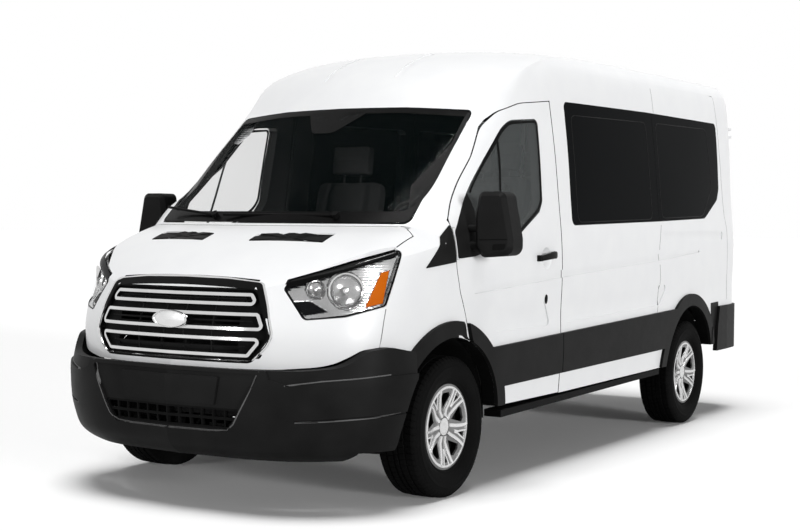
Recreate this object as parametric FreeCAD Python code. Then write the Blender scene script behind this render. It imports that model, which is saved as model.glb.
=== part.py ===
import FreeCAD, Part
import math
import os

V = FreeCAD.Vector

# Layout on the ground, millimetres. +X is the driver's side, -Y the front, +Z up.
front_end_y = -2765.5
rear_end_y = 2765.5
front_axle_y = -1742.5
wheelbase = 3300.0
rear_axle_y = front_axle_y + wheelbase
front_track = 1732.0
rear_track = 1743.0

# The body stands nose down on its springs: heights rise towards the rear.
rake_slope = 0.02
rake_zero_y = -543.0

# Body walls, glass and running clearances.
wall = 60.0
roof_drop_wall = 48.0
screen_wall = 42.0
glass_thickness = 6.0
seam_gap = 8.0
panel_gap = 5.0
seat_gap = 0.3
stamping_depth = 7.0

# Shapes pressed into the body side, seen from the side: a long crease over both
# doors, two large panels under it and the groove behind the cargo seam.
crease_outline = [(-1534.0, 1058.0), (-1073.0, 1086.0), (-579.0, 1115.0), (125.0, 1147.0),
                  (872.0, 1183.0), (1700.0, 1202.0), (1700.0, 1188.0), (908.0, 1140.0),
                  (126.0, 1105.0), (-577.0, 1070.0), (-1072.0, 1043.0), (-1559.0, 1016.0)]
pressed_panels = [[(-1451.0, 950.0), (-757.0, 941.0), (-685.0, 809.0), (-1325.0, 811.0)],
                  [(-485.0, 947.0), (1105.0, 983.0), (953.0, 849.0), (-476.0, 815.0)]]
rail_groove = [(1024.0, 1276.0), (1024.0, 1332.0), (2230.0, 1332.0), (2222.0, 1271.0)]
pressed_radius = 26.0
handle_cup_y = -748.0
handle_cup_z = 1186.0
handle_cup_radius = 58.0
handle_cup_depth = 20.0
roof_rib_width = 44.0
roof_rib_depth = 6.0
roof_ribs = [(-640.0, -330.0, 2480.0), (-320.0, -330.0, 2480.0), (0.0, -330.0, 2480.0),
             (320.0, -330.0, 2480.0), (640.0, -330.0, 2480.0)]
cap_ribs = [(-240.0, -1096.0, -700.0), (240.0, -1096.0, -700.0)]

# Plan outline of the body at each height: height at the rear seam of the front
# doors, half width, nose, tail, and how much of the tail's corner rounding it has.
body_levels = [
    (300.0, 985.0, -2672.0, 2650.0, 0.95),
    (500.0, 1003.0, -2705.0, 2676.0, 0.95),
    (730.0, 1010.0, -2722.0, 2688.0, 0.95),
    (880.0, 1008.0, -2735.0, 2691.0, 0.95),
    (1020.0, 1014.0, -2699.0, 2692.0, 0.95),
    (1150.0, 1015.0, -2645.0, 2692.0, 0.94),
    (1300.0, 1008.0, -2525.0, 2690.0, 0.93),
    (1484.0, 991.0, -2070.0, 2686.0, 0.90),
    (1700.0, 973.0, -1752.0, 2680.0, 0.76),
    (1900.0, 953.0, -1515.0, 2672.0, 0.58),
    (2080.0, 932.0, -1313.0, 2664.0, 0.46),
    (2245.0, 909.0, -1125.0, 2655.0, 0.44),
    (2309.0, 884.0, -992.0, 2650.0, 0.46),
    (2352.0, 846.0, -880.0, 2646.0, 0.50),
    (2440.0, 790.0, -640.0, 2640.0, 0.60),
]
# The nose in plan: half width and how far it sweeps back from the tip.
nose_sweep = [(0.0, 0.0), (250.0, 17.0), (450.0, 54.0), (640.0, 150.0), (780.0, 248.0)]
# Past the corner: sweep back, and share of the way from corner to full width.
corner_half_width = 860.0
corner_sweep = [(350.0, 0.06), (450.0, 0.42), (560.0, 0.65), (760.0, 0.83), (1050.0, 0.94)]
full_width_sweep = 1600.0
# The tail in plan: distance ahead of the tail, and how far inside full width.
side_taper_y = 1500.0
side_taper = 5.0
tail_taper = [(520.0, 22.0), (280.0, 34.0), (150.0, 52.0), (75.0, 86.0), (28.0, 160.0)]
# The flat of the tail: distance ahead of the tail, and share of the half width.
tail_flat = [(7.0, 0.68), (1.5, 0.34)]

# Centre profile of the hood, windshield and roof, and how the nose, glass and
# roof curve back and down away from the centre line.
profile_start_y = -3200.0
profile_start_z = 500.0
profile_end_y = 2950.0
profile_end_z = 2506.0
hood_profile = [(-2760.0, 960.0), (-2673.0, 1056.0), (-2600.0, 1120.0), (-2500.0, 1190.0),
                (-2330.0, 1276.0), (-2160.0, 1334.0), (-2056.0, 1362.0)]
windshield_top_y = -1290.0
windshield_top_z = 2010.0
windshield_bulge = 10.0
roof_profile = [(-1160.0, 2140.0, 0.2), (-1050.0, 2230.0, 0.3), (-900.0, 2306.0, 0.35),
                (-725.0, 2360.0, 0.4), (-450.0, 2400.0, 0.5), (0.0, 2436.0, 0.65),
                (700.0, 2462.0, 0.82), (1600.0, 2487.0, 0.98), (2400.0, 2501.0, 1.08)]
plan_bow = 0.275e-3
roof_bow_drop = 55.0
roof_edge_drop = 45.0
roof_edge_x = 850.0
hood_edge_x = 780.0
hood_edge_drop = 0.0021
profile_stations = [0.0, 300.0, 560.0, 740.0, 850.0, 930.0, 1060.0]

# The bumper in plan: height, half width and nose; and how its corners sweep back.
bumper_half_width = 1024.0
bumper_levels = [(255.0, 930.0, -2640.0), (300.0, 968.0, -2712.0), (370.0, 992.0, -2748.0),
                 (450.0, 1010.0, -2762.0), (560.0, 1022.0, -2765.5), (650.0, 1024.0, -2763.0),
                 (720.0, 1021.0, -2748.0), (800.0, 1014.0, -2733.0)]
bumper_sweep = [(0.0, 0.0), (297.0, 22.0), (520.0, 52.0), (700.0, 125.0), (880.0, 271.0),
                (960.0, 380.0), (1000.0, 480.0), (1018.0, 640.0), (1024.0, 900.0)]
bumper_wall = 32.0
recess_depth = 12.0
# The step over each front corner and the thin line below it, seen from the front.
shelf_outline = [(545.0, 682.0), (562.0, 648.0), (654.0, 624.0), (809.0, 642.0), (936.0, 656.0),
                 (1100.0, 666.0), (1100.0, 900.0), (545.0, 900.0)]
shelf_depth = 8.0
groove_outline = [(672.0, 455.0), (807.0, 465.0), (933.0, 474.0), (1100.0, 480.0), (1100.0, 489.0),
                  (933.0, 483.0), (807.0, 474.0), (672.0, 464.0)]
groove_depth = 6.0
number_panel = [(-300.0, 652.0), (300.0, 652.0), (276.0, 520.0), (-276.0, 520.0)]
intake_outline = [(-424.0, 506.0), (424.0, 506.0), (352.0, 408.0), (-352.0, 408.0)]
inner_intake_outline = [(-410.0, 496.0), (410.0, 496.0), (346.0, 418.0), (-346.0, 418.0)]
intake_bar_heights = [457.0]
intake_fins = 5
intake_fin_pitch = 66.0

# Lamps and grille.
front_sheet = 36.0
lens_thickness = 3.0
lamp_depth = 22.0
headlight_outline = [(-1428.0, 1060.0), (-1402.0, 1100.0), (-1100.0, 1186.0), (-842.0, 1250.0),
                     (-900.0, 1100.0), (-948.0, 980.0), (-1150.0, 932.0), (-1345.0, 918.0)]
headlight_radii = [16, 10, 600, 16, 200, 20, 200, 30]
headlight_lamps = [(700.0, -2440.0, 1035.0, 58.0), (800.0, -2330.0, 1075.0, 52.0)]
grille_depth = 26.0
loop_width = 15.0
slot_pitch = 150.0
grille_loops = [[(416.0, 1040.0), (462.0, 982.0)], [(466.0, 950.0), (506.0, 868.0)],
                [(506.0, 836.0), (428.0, 744.0)]]

# Wheels and tyres.
tyre_radius = 356.0
tyre_width = 235.0
tyre_sides = 60
rim_radius = 203.0
rim_width = 178.0
rim_wall = 9.0
rim_flange = 12.0
cover_proud = 91.0
cover_thickness = 16.0
hub_radius = 74.0
hub_face = 34.0
spokes = 5
leaf_window_inner = 92.0
leaf_window_outer = 176.0
leaf_window_half_width = 44.0
fork_window_inner = 146.0
fork_window_outer = 180.0

# Running gear.
kingpin_x = 800.0
kingpin_radius = 16.0
knuckle_gap = 0.5
brake_disc_radius = 124.0
axle_tube_radius = 42.0
axle_face_x = 752.0
spring_x = 520.0
spring_half_width = 35.0
spring_reach = 720.0
engine_size = (560.0, 620.0, 560.0)
engine_y = -2060.0
engine_z = 690.0
gearbox_bottom_z = 420.0

# Cabin fittings.
mirror_root_x = 930.0
mirror_outline = [(1042.0, 1535.0), (1190.0, 1535.0), (1236.0, 1300.0), (1236.0, 1216.0),
                  (1062.0, 1202.0), (1024.0, 1250.0), (1022.0, 1400.0)]
mirror_radii = [34, 40, 0, 50, 40, 40, 0]
mirror_front_y = -1604.0
mirror_rear_y = -1478.0
mirror_bevel = 22.0
column_angle = math.radians(28.0)
steering_wheel_x = 430.0
steering_wheel_y = -1120.0
steering_wheel_z = 1330.0
hub_depth = 40.0
column_gap = 1.0
seat_x = 430.0
cabin_seat_width = 440.0
seat_rows = [(0.0, (160.0, 620.0)), (880.0, (-640.0, 160.0, 620.0)), (1780.0, (-450.0, 0.0, 450.0))]
wiper_lines = [(430.0, -250.0, -2010.0, 1400.0), (-330.0, -760.0, -1860.0, 1440.0)]
sliding_door_outline = [(-520.0, 470.0), (-520.0, 2200.0), (940.0, 2230.0), (940.0, 500.0)]
sliding_door_radii = [40, 60, 60, 40]

# Seams of the doors and panels, seen from the side.
door_rear_y = -543.0
door_front_y = -1733.0
cargo_seam_y = 957.0
front_arch_y = -1765.0
front_arch_z = 350.0
rear_arch_y = 1540.0
rear_arch_z = 362.0
arch_radius = 458.0
arch_trim_radius = 540.0
door_bottom_z = 414.0
sill_bottom_rear_z = 434.0
moulding_top_front_z = 757.0
moulding_top_slope = 0.0295
moulding_bottom_front_z = 531.0
moulding_bottom_slope = 0.0158
moulding_proud = 19.0
moulding_chamfer = 38.0
side_panel_inner_x = 400.0
rear_sill_z = 640.0
rear_opening_x = 838.0
rear_opening_top_x = 790.0
rear_opening_shoulder_z = 1700.0
rear_opening_top_z = 2290.0
tail_bottom_z = 520.0
sail_rear_y = -1486.0
sail_thickness = 12.0
hood_rear_y = -2084.0
hood_lip_z = 1082.0
hood_thickness = 26.0
hood_pivot_y = -1908.0
hood_pivot_z = 1345.0
hood_corner_sweep = 15.0
hood_lamp_gap = 5.5
vent_outline = [(141.0, -2222.0), (544.0, -2130.0), (546.0, -2251.0), (144.0, -2318.0)]
vent_depth = 7.0
bumper_rear_x = 1018.0
bumper_rear_bottom_z = 470.0
bumper_rear_top_z = 625.0
rear_door_split = 4.0
rear_door_thickness = 56.0
rear_hinge_x = 845.0
rear_hinge_y = 2700.0
rear_hinge_heights = [880.0, 1580.0, 2080.0]
strap_bend_x = 812.0
strap_lift = 7.0
rear_pin_radius = 7.0
liner_gap = 4.0
liner_wall = 8.0
front_house_x = 530.0
rear_house_x = 640.0
firewall_y = -1500.0
firewall_thickness = 30.0
firewall_corner_x = 916.0
firewall_top_z = 1170.0
shelf_front_y = -1960.0
shelf_front_z = 1262.0
shelf_drop = 40.0
floor_top_z = 700.0
floor_thickness = 50.0


def lift(y):
    """Extra height of a body feature at y, from the way the body stands."""
    return rake_slope * (y - rake_zero_y)


def spline(points, spacing=None):
    """A smooth curve through points; curves that share one spacing skin evenly."""
    curve = Part.BSplineCurve()
    if spacing is None:
        curve.interpolate(points)
    else:
        curve.interpolate(Points=points, Parameters=spacing)
    return curve


def chord_spacing(points):
    """Curve parameters in step with the distances between points."""
    lengths = [0.0]
    for i in range(1, len(points)):
        step = math.dist(points[i - 1], points[i])
        lengths.append(lengths[-1] + step)
    return [length / lengths[-1] for length in lengths]


def polygon_face(points):
    """A flat face from its corners."""
    return Part.Face(Part.makePolygon(points + [points[0]]))


def skin(curves, spacing):
    """A smooth surface through curves that share their own spacing."""
    rows = [curve.getPoles() for curve in curves]
    columns = []
    for index in range(len(rows[0])):
        column = spline([row[index] for row in rows], spacing)
        columns.append(column.getPoles())
    surface = Part.BSplineSurface()
    surface.buildFromPolesMultsKnots(
        columns, curves[0].getMultiplicities(), column.getMultiplicities(),
        curves[0].getKnots(), column.getKnots(), False, False,
        curves[0].Degree, column.Degree)
    return surface.toShape()


def closed_solid(faces):
    """One solid from the faces that close it."""
    shell = Part.Shell(faces)
    shell.sewShape()
    solid = Part.Solid(shell)
    if solid.Volume < 0.0:
        solid.reverse()
    return solid


def rounded_face(points, radius):
    """A flat face whose corners are rounded; radius is one value or one per corner."""
    count = len(points)
    radii = [radius] * count if isinstance(radius, (int, float)) else radius
    starts = []
    ends = []
    arcs = []
    for i, corner in enumerate(points):
        before = (points[i - 1] - corner).normalize()
        after = (points[(i + 1) % count] - corner).normalize()
        half = before.getAngle(after) / 2.0
        if radii[i] <= 0.0:
            starts.append(corner)
            ends.append(corner)
            arcs.append(None)
            continue
        reach = radii[i] / math.tan(half)
        first = corner + before * reach
        last = corner + after * reach
        inward = (before + after).normalize()
        middle = corner + inward * (radii[i] / math.sin(half) - radii[i])
        starts.append(first)
        ends.append(last)
        arcs.append(Part.Arc(first, middle, last).toShape())
    edges = []
    for i in range(count):
        if arcs[i] is not None:
            edges.append(arcs[i])
        following = (i + 1) % count
        if (ends[i] - starts[following]).Length > 1e-6:
            edges.append(Part.LineSegment(ends[i], starts[following]).toShape())
    return Part.Face(Part.Wire(edges))


def side_face(outline, x, radius=0.0):
    """A face in the side view from (y, z) corners."""
    return rounded_face([V(x, y, z) for y, z in outline], radius)


def side_prism(outline, x_from, x_to, radius=0.0):
    """An outline seen from the side, pushed through from one x to another."""
    return side_face(outline, x_from, radius).extrude(V(x_to - x_from, 0, 0))


def front_prism(outline, y_from, y_to, radius=0.0):
    """An outline (x, z) seen from the front, pushed through from one y to another."""
    face = rounded_face([V(x, y_from, z) for x, z in outline], radius)
    return face.extrude(V(0, y_to - y_from, 0))


def plan_prism(outline, z_from, z_to, radius=0.0):
    """An outline (x, y) seen from above, pushed through from one z to another."""
    face = rounded_face([V(x, y, z_from) for x, y in outline], radius)
    return face.extrude(V(0, 0, z_to - z_from))


def block(x_from, x_to, y_from, y_to, z_from, z_to):
    """A box between two corners."""
    return Part.makeBox(x_to - x_from, y_to - y_from, z_to - z_from, V(x_from, y_from, z_from))


def rod(start, end, radius):
    """A round bar between two points."""
    return Part.makeCylinder(radius, (end - start).Length, start, end - start)


def mirrored(shape):
    """The same shape on the other side of the vehicle."""
    return shape.mirror(V(0, 0, 0), V(1, 0, 0))


def pair(shape):
    """A shape and its mirror image, as solids that don't touch."""
    return Part.makeCompound([shape, mirrored(shape)])


def offset_outline(points, inset):
    """Plan points moved square to the outline, inwards by inset."""
    moved = []
    last = len(points) - 1
    for i, (x, y) in enumerate(points):
        before = points[max(i - 1, 0)]
        after = points[min(i + 1, last)]
        along_x = after[0] - before[0]
        along_y = after[1] - before[1]
        if i in (0, last):
            along_y = 0.0
        length = math.hypot(along_x, along_y)
        moved.append((x - inset * along_y / length, y + inset * along_x / length))
    return moved


def body_outline(level, inset):
    """Half plan outline of the body at one level, from nose tip to tail."""
    height, half_width, nose_y, tail_y, tail_round = level
    points = [(x, nose_y + sweep) for x, sweep in nose_sweep]
    for sweep, share in corner_sweep:
        x = corner_half_width + (half_width - corner_half_width) * share
        points.append((x, nose_y + sweep))
    full_y = nose_y + full_width_sweep
    points.append((half_width, full_y))
    points.append((half_width, (full_y + side_taper_y) / 2.0))
    points.append((half_width - side_taper, side_taper_y))
    points += [(half_width - inside * tail_round, tail_y - ahead) for ahead, inside in tail_taper]
    points += [(half_width * share, tail_y - ahead) for ahead, share in tail_flat]
    points.append((0.0, tail_y))
    return offset_outline(points, inset)


def outline_solid(half_outlines, heights, raked=True):
    """A solid through plan outlines stacked at their heights.

    Each half outline runs from the nose tip to the tail on the left side.
    """
    def place(x, y, height):
        return V(x, y, height + (lift(y) if raked else 0.0))
    spacing = chord_spacing(half_outlines[len(half_outlines) // 2])
    height_spacing = chord_spacing([(0.0, height) for height in heights])
    faces = []
    rims = [[], []]
    for side in (1.0, -1.0):
        curves = []
        for outline, height in zip(half_outlines, heights):
            curves.append(spline([place(side * x, y, height) for x, y in outline], spacing))
        faces.append(skin(curves, height_spacing))
        rims[0].append(curves[0].toShape())
        rims[1].append(curves[-1].toShape())
    for rim in rims:
        faces.append(Part.Face(Part.Wire(Part.sortEdges(rim)[0])))
    return closed_solid(faces)


def side_volume():
    """The space inside the body sides, nose and tail, up past the roof."""
    outlines = [body_outline(level, 0.0) for level in body_levels]
    return outline_solid(outlines, [level[0] for level in body_levels])


def inner_side_volume(inset):
    """The same space drawn in by a wall, with plain facets."""
    wires = []
    for level in body_levels[::2]:
        half = body_outline(level, inset)[::2]
        whole = half + [(-x, y) for x, y in reversed(half) if x > 1.0]
        wires.append(Part.makePolygon([V(x, y, level[0] + lift(y)) for x, y in whole + whole[:1]]))
    return Part.makeLoft(wires, True, True)


def profile_curves(x):
    """Hood, windshield and roof curves at one distance from the centre line."""
    back = plan_bow * x * x
    roof_drop = roof_bow_drop * (x / roof_edge_x) ** 2 + roof_edge_drop * (x / roof_edge_x) ** 6
    hood_drop = hood_edge_drop * max(abs(x) - hood_edge_x, 0.0) ** 2
    hood = [V(x, profile_start_y, profile_start_z)]
    hood += [V(x, y + back, z - hood_drop) for y, z in hood_profile]
    cowl = hood[-1]
    header = V(x, windshield_top_y + back, windshield_top_z)
    out = V(0, cowl.z - header.z, header.y - cowl.y).normalize()
    middle = (cowl + header) * 0.5 + out * windshield_bulge
    roof = [V(x, y + back, z - roof_drop * share) for y, z, share in roof_profile]
    roof.append(V(x, profile_end_y, profile_end_z - roof_drop * roof_profile[-1][2]))
    hood_spacing = chord_spacing([(profile_start_y, profile_start_z)] + hood_profile)
    roof_spacing = chord_spacing([(windshield_top_y, windshield_top_z)]
                                 + [(y, z) for y, z, _ in roof_profile]
                                 + [(profile_end_y, profile_end_z)])
    return [spline(hood, hood_spacing),
            spline([cowl, middle, header], [0.0, 0.5, 1.0]),
            spline([header] + roof, roof_spacing)]


def end_cap(face, y):
    """The flat end below the part of a face's rim that lies at y."""
    rim = [edge for edge in face.Edges if all(abs(v.Point.y - y) < 1e-3 for v in edge.Vertexes)]
    first = rim[0].Vertexes[0].Point
    last = rim[0].Vertexes[-1].Point
    corners = [last, V(last.x, y, 0.0), V(first.x, y, 0.0), first]
    sides = [Part.LineSegment(corners[i], corners[i + 1]).toShape() for i in range(3)]
    return Part.Face(Part.Wire([rim[0]] + sides))


def top_volume():
    """The space below the hood, windshield and roof."""
    stations = [-x for x in reversed(profile_stations[1:])] + profile_stations
    spacing = chord_spacing([(x, 0.0) for x in stations])
    strips = [profile_curves(x) for x in stations]
    faces = []
    for part in range(3):
        faces.append(skin([strip[part] for strip in strips], spacing))
    for strip in (strips[0], strips[-1]):
        x = strip[0].StartPoint.x
        edges = [curve.toShape() for curve in strip]
        corners = [strip[-1].EndPoint, V(x, profile_end_y, 0.0), V(x, profile_start_y, 0.0),
                   strip[0].StartPoint]
        edges += [Part.LineSegment(corners[i], corners[i + 1]).toShape() for i in range(3)]
        faces.append(Part.Face(Part.Wire(edges)))
    faces.append(end_cap(faces[0], profile_start_y))
    faces.append(end_cap(faces[2], profile_end_y))
    width = profile_stations[-1]
    faces.append(polygon_face([V(-width, profile_start_y, 0), V(width, profile_start_y, 0),
                               V(width, profile_end_y, 0), V(-width, profile_end_y, 0)]))
    return closed_solid(faces)


def moved(shape, x=0.0, y=0.0, z=0.0):
    """A copy of a shape shifted by x, y and z."""
    copy = shape.copy()
    copy.translate(V(x, y, z))
    return copy


def grown_face(face, amount):
    """A flat face with its outline moved outwards, or inwards if negative."""
    return Part.Face(face.OuterWire.makeOffset2D(amount))


def side_cutter(face, x_from, x_to, amount=0.0):
    """A side-view face pushed through in x, with its outline moved by amount."""
    outline = grown_face(face, amount) if amount else face
    return moved(outline, x=x_from - outline.BoundBox.XMin).extrude(V(x_to - x_from, 0, 0))


def only_solid(shape):
    """The largest solid of a result that should be a single piece."""
    return max(shape.Solids, key=lambda solid: solid.Volume)


# Whole body volumes that every panel is cut from.
body = side_volume().common(top_volume())
cabin_space = inner_side_volume(wall).common(moved(top_volume(), y=screen_wall, z=-roof_drop_wall))
half_space = block(0.0, 1300.0, -3300.0, 3300.0, 0.0, 2700.0)
left_body = body.common(half_space)
left_shell = left_body.cut(cabin_space)


def arch_space(centre_y, centre_z, radius, x_from, x_to):
    """The round opening over a wheel."""
    return Part.makeCylinder(radius, x_to - x_from, V(x_from, centre_y, centre_z), V(1, 0, 0))


def door_opening_face():
    """The front door's opening, seen from the side."""
    outline = [(door_rear_y, door_bottom_z), (door_rear_y, 2076.0), (-880.0, 2040.0),
               (-1070.0, 1982.0), (-1215.0, 1890.0), (-1365.0, 1722.0), (-1560.0, 1540.0),
               (door_front_y, 1390.0), (door_front_y, 1150.0), (-1704.0, 1030.0),
               (-1644.0, 908.0), (-1600.0, 780.0), (-1330.0, door_bottom_z)]
    radii = [0, 18, 400, 300, 400, 800, 800, 60, 200, 150, 150, 60, 0]
    return side_face(outline, 0.0, radii)


def door_window_face():
    """The glass and mirror corner of the front door, seen from the side."""
    outline = [(-714.0, 1962.0), (-1000.0, 1938.0), (-1085.0, 1888.0), (-1290.0, 1712.0),
               (-1480.0, 1540.0), (-1640.0, 1400.0), (-1714.0, 1330.0), (-1714.0, 1196.0),
               (-1550.0, 1206.0), (-1300.0, 1250.0), (-1058.0, 1318.0), (-800.0, 1440.0),
               (-752.0, 1500.0)]
    radii = [36, 200, 200, 300, 300, 200, 40, 12, 200, 300, 300, 40, 60]
    return side_face(outline, 0.0, radii)


def side_band_face():
    """The long dark band of side glass behind the front door."""
    outline = [(-372.0, 2084.0), (-392.0, 1367.0), (957.0, 1398.0), (1849.0, 1424.0),
               (2150.0, 1560.0), (2205.0, 1640.0), (2228.0, 2120.0), (875.0, 2109.0)]
    return side_face(outline, 0.0, [40, 40, 0, 150, 60, 60, 40, 0])


def side_window_faces():
    """The two see-through windows inside the dark band."""
    front = [(-296.0, 2010.0), (-308.0, 1386.0), (838.0, 1412.0), (838.0, 2040.0)]
    rear = [(1010.0, 2046.0), (1010.0, 1420.0), (1810.0, 1440.0), (2040.0, 1640.0), (2000.0, 2066.0)]
    return [side_face(front, 0.0, 60), side_face(rear, 0.0, 60)]


def gutter_face():
    """Everything above the rain gutter, seen from the side, behind the door."""
    outline = [(door_rear_y, 2252.0), (191.0, 2284.0), (965.0, 2306.0), (2780.0, 2330.0),
               (2780.0, 2700.0), (door_rear_y, 2700.0)]
    return side_face(outline, 0.0)


def rear_opening_face():
    """The rear door opening on the left, seen from behind, from the middle out."""
    outline = [V(0, 0, rear_sill_z), V(rear_opening_x, 0, rear_sill_z),
               V(rear_opening_x, 0, rear_opening_shoulder_z), V(rear_opening_top_x, 0, rear_opening_top_z),
               V(0, 0, rear_opening_top_z)]
    return rounded_face(outline, [0, 40, 200, 110, 0])


def pressed_side(shape):
    """A left side panel with the creases and panels of the body side pressed in."""
    faces = [side_face(crease_outline, 0.0)]
    faces += [side_face(outline, 0.0, pressed_radius) for outline in pressed_panels]
    faces.append(side_face(rail_groove, 0.0, 12.0))
    cutter = Part.makeCompound([side_cutter(face, 700.0, 1100.0) for face in faces])
    return shape.cut(cutter.cut(moved(body, x=-stamping_depth)))


def ribbed(shape, ribs):
    """A roof panel with shallow round-ended ribs pressed in from above."""
    half = roof_rib_width / 2.0
    cutters = []
    for x, y_from, y_to in ribs:
        outline = [(x - half, y_from), (x + half, y_from), (x + half, y_to), (x - half, y_to)]
        cutters.append(plan_prism(outline, 2000.0, 2700.0, half - 1.0))
    return shape.cut(Part.makeCompound(cutters).cut(moved(body, z=-roof_rib_depth)))


def moulding_face(y_from, y_to):
    """The dark moulding along the lower side, between two places."""
    def top(y):
        return moulding_top_front_z + moulding_top_slope * (y - door_rear_y)

    def bottom(y):
        return moulding_bottom_front_z + moulding_bottom_slope * (y - door_rear_y)
    return side_face([(y_from, bottom(y_from)), (y_to, bottom(y_to)),
                      (y_to, top(y_to)), (y_from, top(y_from))], 0.0)


def arch_band(centre_y, centre_z):
    """The dark lip round a wheel opening, before it is trimmed."""
    outer = arch_space(centre_y, centre_z, arch_trim_radius, 700.0, 1100.0)
    return outer.cut(arch_space(centre_y, centre_z, arch_radius, 690.0, 1110.0))


def proud_layer(cutter, proud):
    """The part of a cutter between the body side and the same side moved out."""
    return cutter.common(moved(body, x=proud)).cut(body)


def door_panel():
    """Left front door: one hollow-section panel with its window cut out."""
    opening = door_opening_face()
    panel = left_shell.common(side_cutter(opening, 500.0, 1100.0, -panel_gap))
    panel = panel.cut(block(500.0, 1100.0, door_rear_y - seam_gap, 0.0, 0.0, 2700.0))
    panel = panel.cut(arch_space(front_arch_y, front_arch_z, arch_radius, 400.0, 1100.0))
    panel = panel.cut(side_cutter(door_window_face(), 500.0, 1100.0))
    surface_x = 1011.0
    cup = Part.makeCone(handle_cup_radius * 0.6, handle_cup_radius * 1.3, handle_cup_depth * 1.75,
                        V(surface_x - handle_cup_depth, handle_cup_y, handle_cup_z), V(1, 0, 0))
    return only_solid(pressed_side(panel).cut(cup))


def door_window_parts():
    """Door glass, and the dark corner piece that carries the mirror."""
    opening = side_cutter(door_window_face(), 500.0, 1100.0, -1.0)
    layer = left_body.common(opening)
    glass = layer.cut(moved(body, x=-glass_thickness))
    glass = glass.common(block(500.0, 1100.0, sail_rear_y, 0.0, 1000.0, 2200.0))
    sail = layer.cut(moved(body, x=-sail_thickness))
    sail = sail.common(block(500.0, 1100.0, -2000.0, sail_rear_y - seat_gap, 1000.0, 2200.0))
    return only_solid(glass), only_solid(sail)


def door_moulding():
    """Dark moulding and rear half of the wheel lip on the left front door."""
    opening = side_cutter(door_opening_face(), 500.0, 1100.0, -panel_gap)
    opening = opening.cut(block(500.0, 1100.0, door_rear_y - seam_gap, 0.0, 0.0, 2700.0))
    strip = side_cutter(moulding_face(front_arch_y, door_rear_y), 700.0, 1100.0)
    strip = strip.fuse(arch_band(front_arch_y, front_arch_z))
    strip = strip.cut(arch_space(front_arch_y, front_arch_z, arch_radius, 690.0, 1110.0))
    return only_solid(proud_layer(strip.common(opening), moulding_proud))


def side_panel():
    """Left body side behind the front door, with its windows cut out."""
    panel = left_shell.common(block(side_panel_inner_x, 1100.0, door_rear_y, 2800.0, 0.0, 2700.0))
    panel = panel.cut(side_cutter(gutter_face(), 300.0, 1100.0))
    foot = side_face([(-700.0, 0.0), (-700.0, door_bottom_z), (rear_arch_y - 300.0, sill_bottom_rear_z),
                      (rear_arch_y, tail_bottom_z), (2900.0, tail_bottom_z), (2900.0, 0.0)], 0.0)
    panel = panel.cut(side_cutter(foot, 300.0, 1100.0))
    panel = panel.cut(rear_opening_face().extrude(V(0, 700.0, 0)).translated(V(0, 2350.0, 0)))
    panel = panel.cut(block(0.0, rear_opening_x, 2350.0, 2800.0, 0.0, rear_sill_z))
    panel = panel.cut(arch_space(rear_arch_y, rear_arch_z, arch_radius, 300.0, 1100.0))
    band = side_cutter(side_band_face(), 700.0, 1100.0)
    panel = panel.cut(band.cut(moved(body, x=-glass_thickness)))
    for window in side_window_faces():
        panel = panel.cut(side_cutter(window, 500.0, 1100.0))
    return rear_hinge_pins(only_solid(pressed_side(panel)))


def side_glass():
    """The dark side glass on the left: two panes that meet at the cargo seam."""
    layer = left_body.common(side_cutter(side_band_face(), 700.0, 1100.0, -1.5))
    layer = layer.cut(moved(body, x=-glass_thickness))
    slot = block(700.0, 1100.0, cargo_seam_y - 2.0, cargo_seam_y + 2.0, 1200.0, 2300.0)
    return layer.cut(slot).Solids


def roof_panels():
    """The front cap over the windshield and doors, and the roof behind it."""
    above = side_cutter(gutter_face(), -1200.0, 1200.0)
    shell = body.cut(cabin_space)
    roof = shell.common(above)
    cap_face = side_face([(door_rear_y, 2700.0), (door_rear_y, 2076.0), (-880.0, 2040.0),
                          (-1070.0, 1982.0), (-1160.0, 1932.0), (-1500.0, 1932.0),
                          (-1500.0, 2700.0)], 0.0, [0, 0, 400, 300, 0, 0, 0])
    cap = shell.common(side_cutter(cap_face, -1200.0, 1200.0))
    cap = cap.cut(windshield_cutter(0.0))
    return only_solid(ribbed(cap, cap_ribs)), only_solid(ribbed(roof, roof_ribs))


def windshield_cutter(amount):
    """The windshield opening, seen from the front, pushed back through the glass."""
    outline = [V(-772.0, 0, 1985.0), V(-400.0, 0, 2006.0), V(0, 0, 2009.0), V(400.0, 0, 2006.0),
               V(772.0, 0, 1985.0), V(806.0, 0, 1366.0), V(-806.0, 0, 1366.0)]
    face = rounded_face(outline, [40, 0, 0, 0, 40, 30, 30])
    if amount:
        face = grown_face(face, amount)
    return moved(face, y=-2500.0).extrude(V(0, 1600.0, 0))


def windshield():
    """The curved windshield."""
    glass = body.common(windshield_cutter(-seat_gap))
    glass = glass.cut(moved(body, y=glass_thickness * 0.64, z=-glass_thickness * 0.77))
    return only_solid(glass)


def windshield_frame():
    """The A-pillars and the cowl below the windshield, in one frame."""
    region = side_face([(-1160.0, 1932.0), (-1215.0, 1890.0), (-1365.0, 1722.0), (-1560.0, 1540.0),
                        (door_front_y, 1390.0), (door_front_y, 1200.0), (-2120.0, 1200.0),
                        (-2120.0, 1400.0), (-1500.0, 1932.0)], 0.0)
    frame = body.cut(cabin_space).common(side_cutter(region, -1200.0, 1200.0))
    frame = frame.cut(windshield_cutter(0.0))
    frame = frame.cut(hood_space(0.0)).cut(pair(headlight_cutter()))
    corner = rod(V(770.0, hood_pivot_y, hood_pivot_z), V(830.0, hood_pivot_y, hood_pivot_z), hood_corner_sweep)
    return only_solid(frame.cut(pair(corner)))


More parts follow.
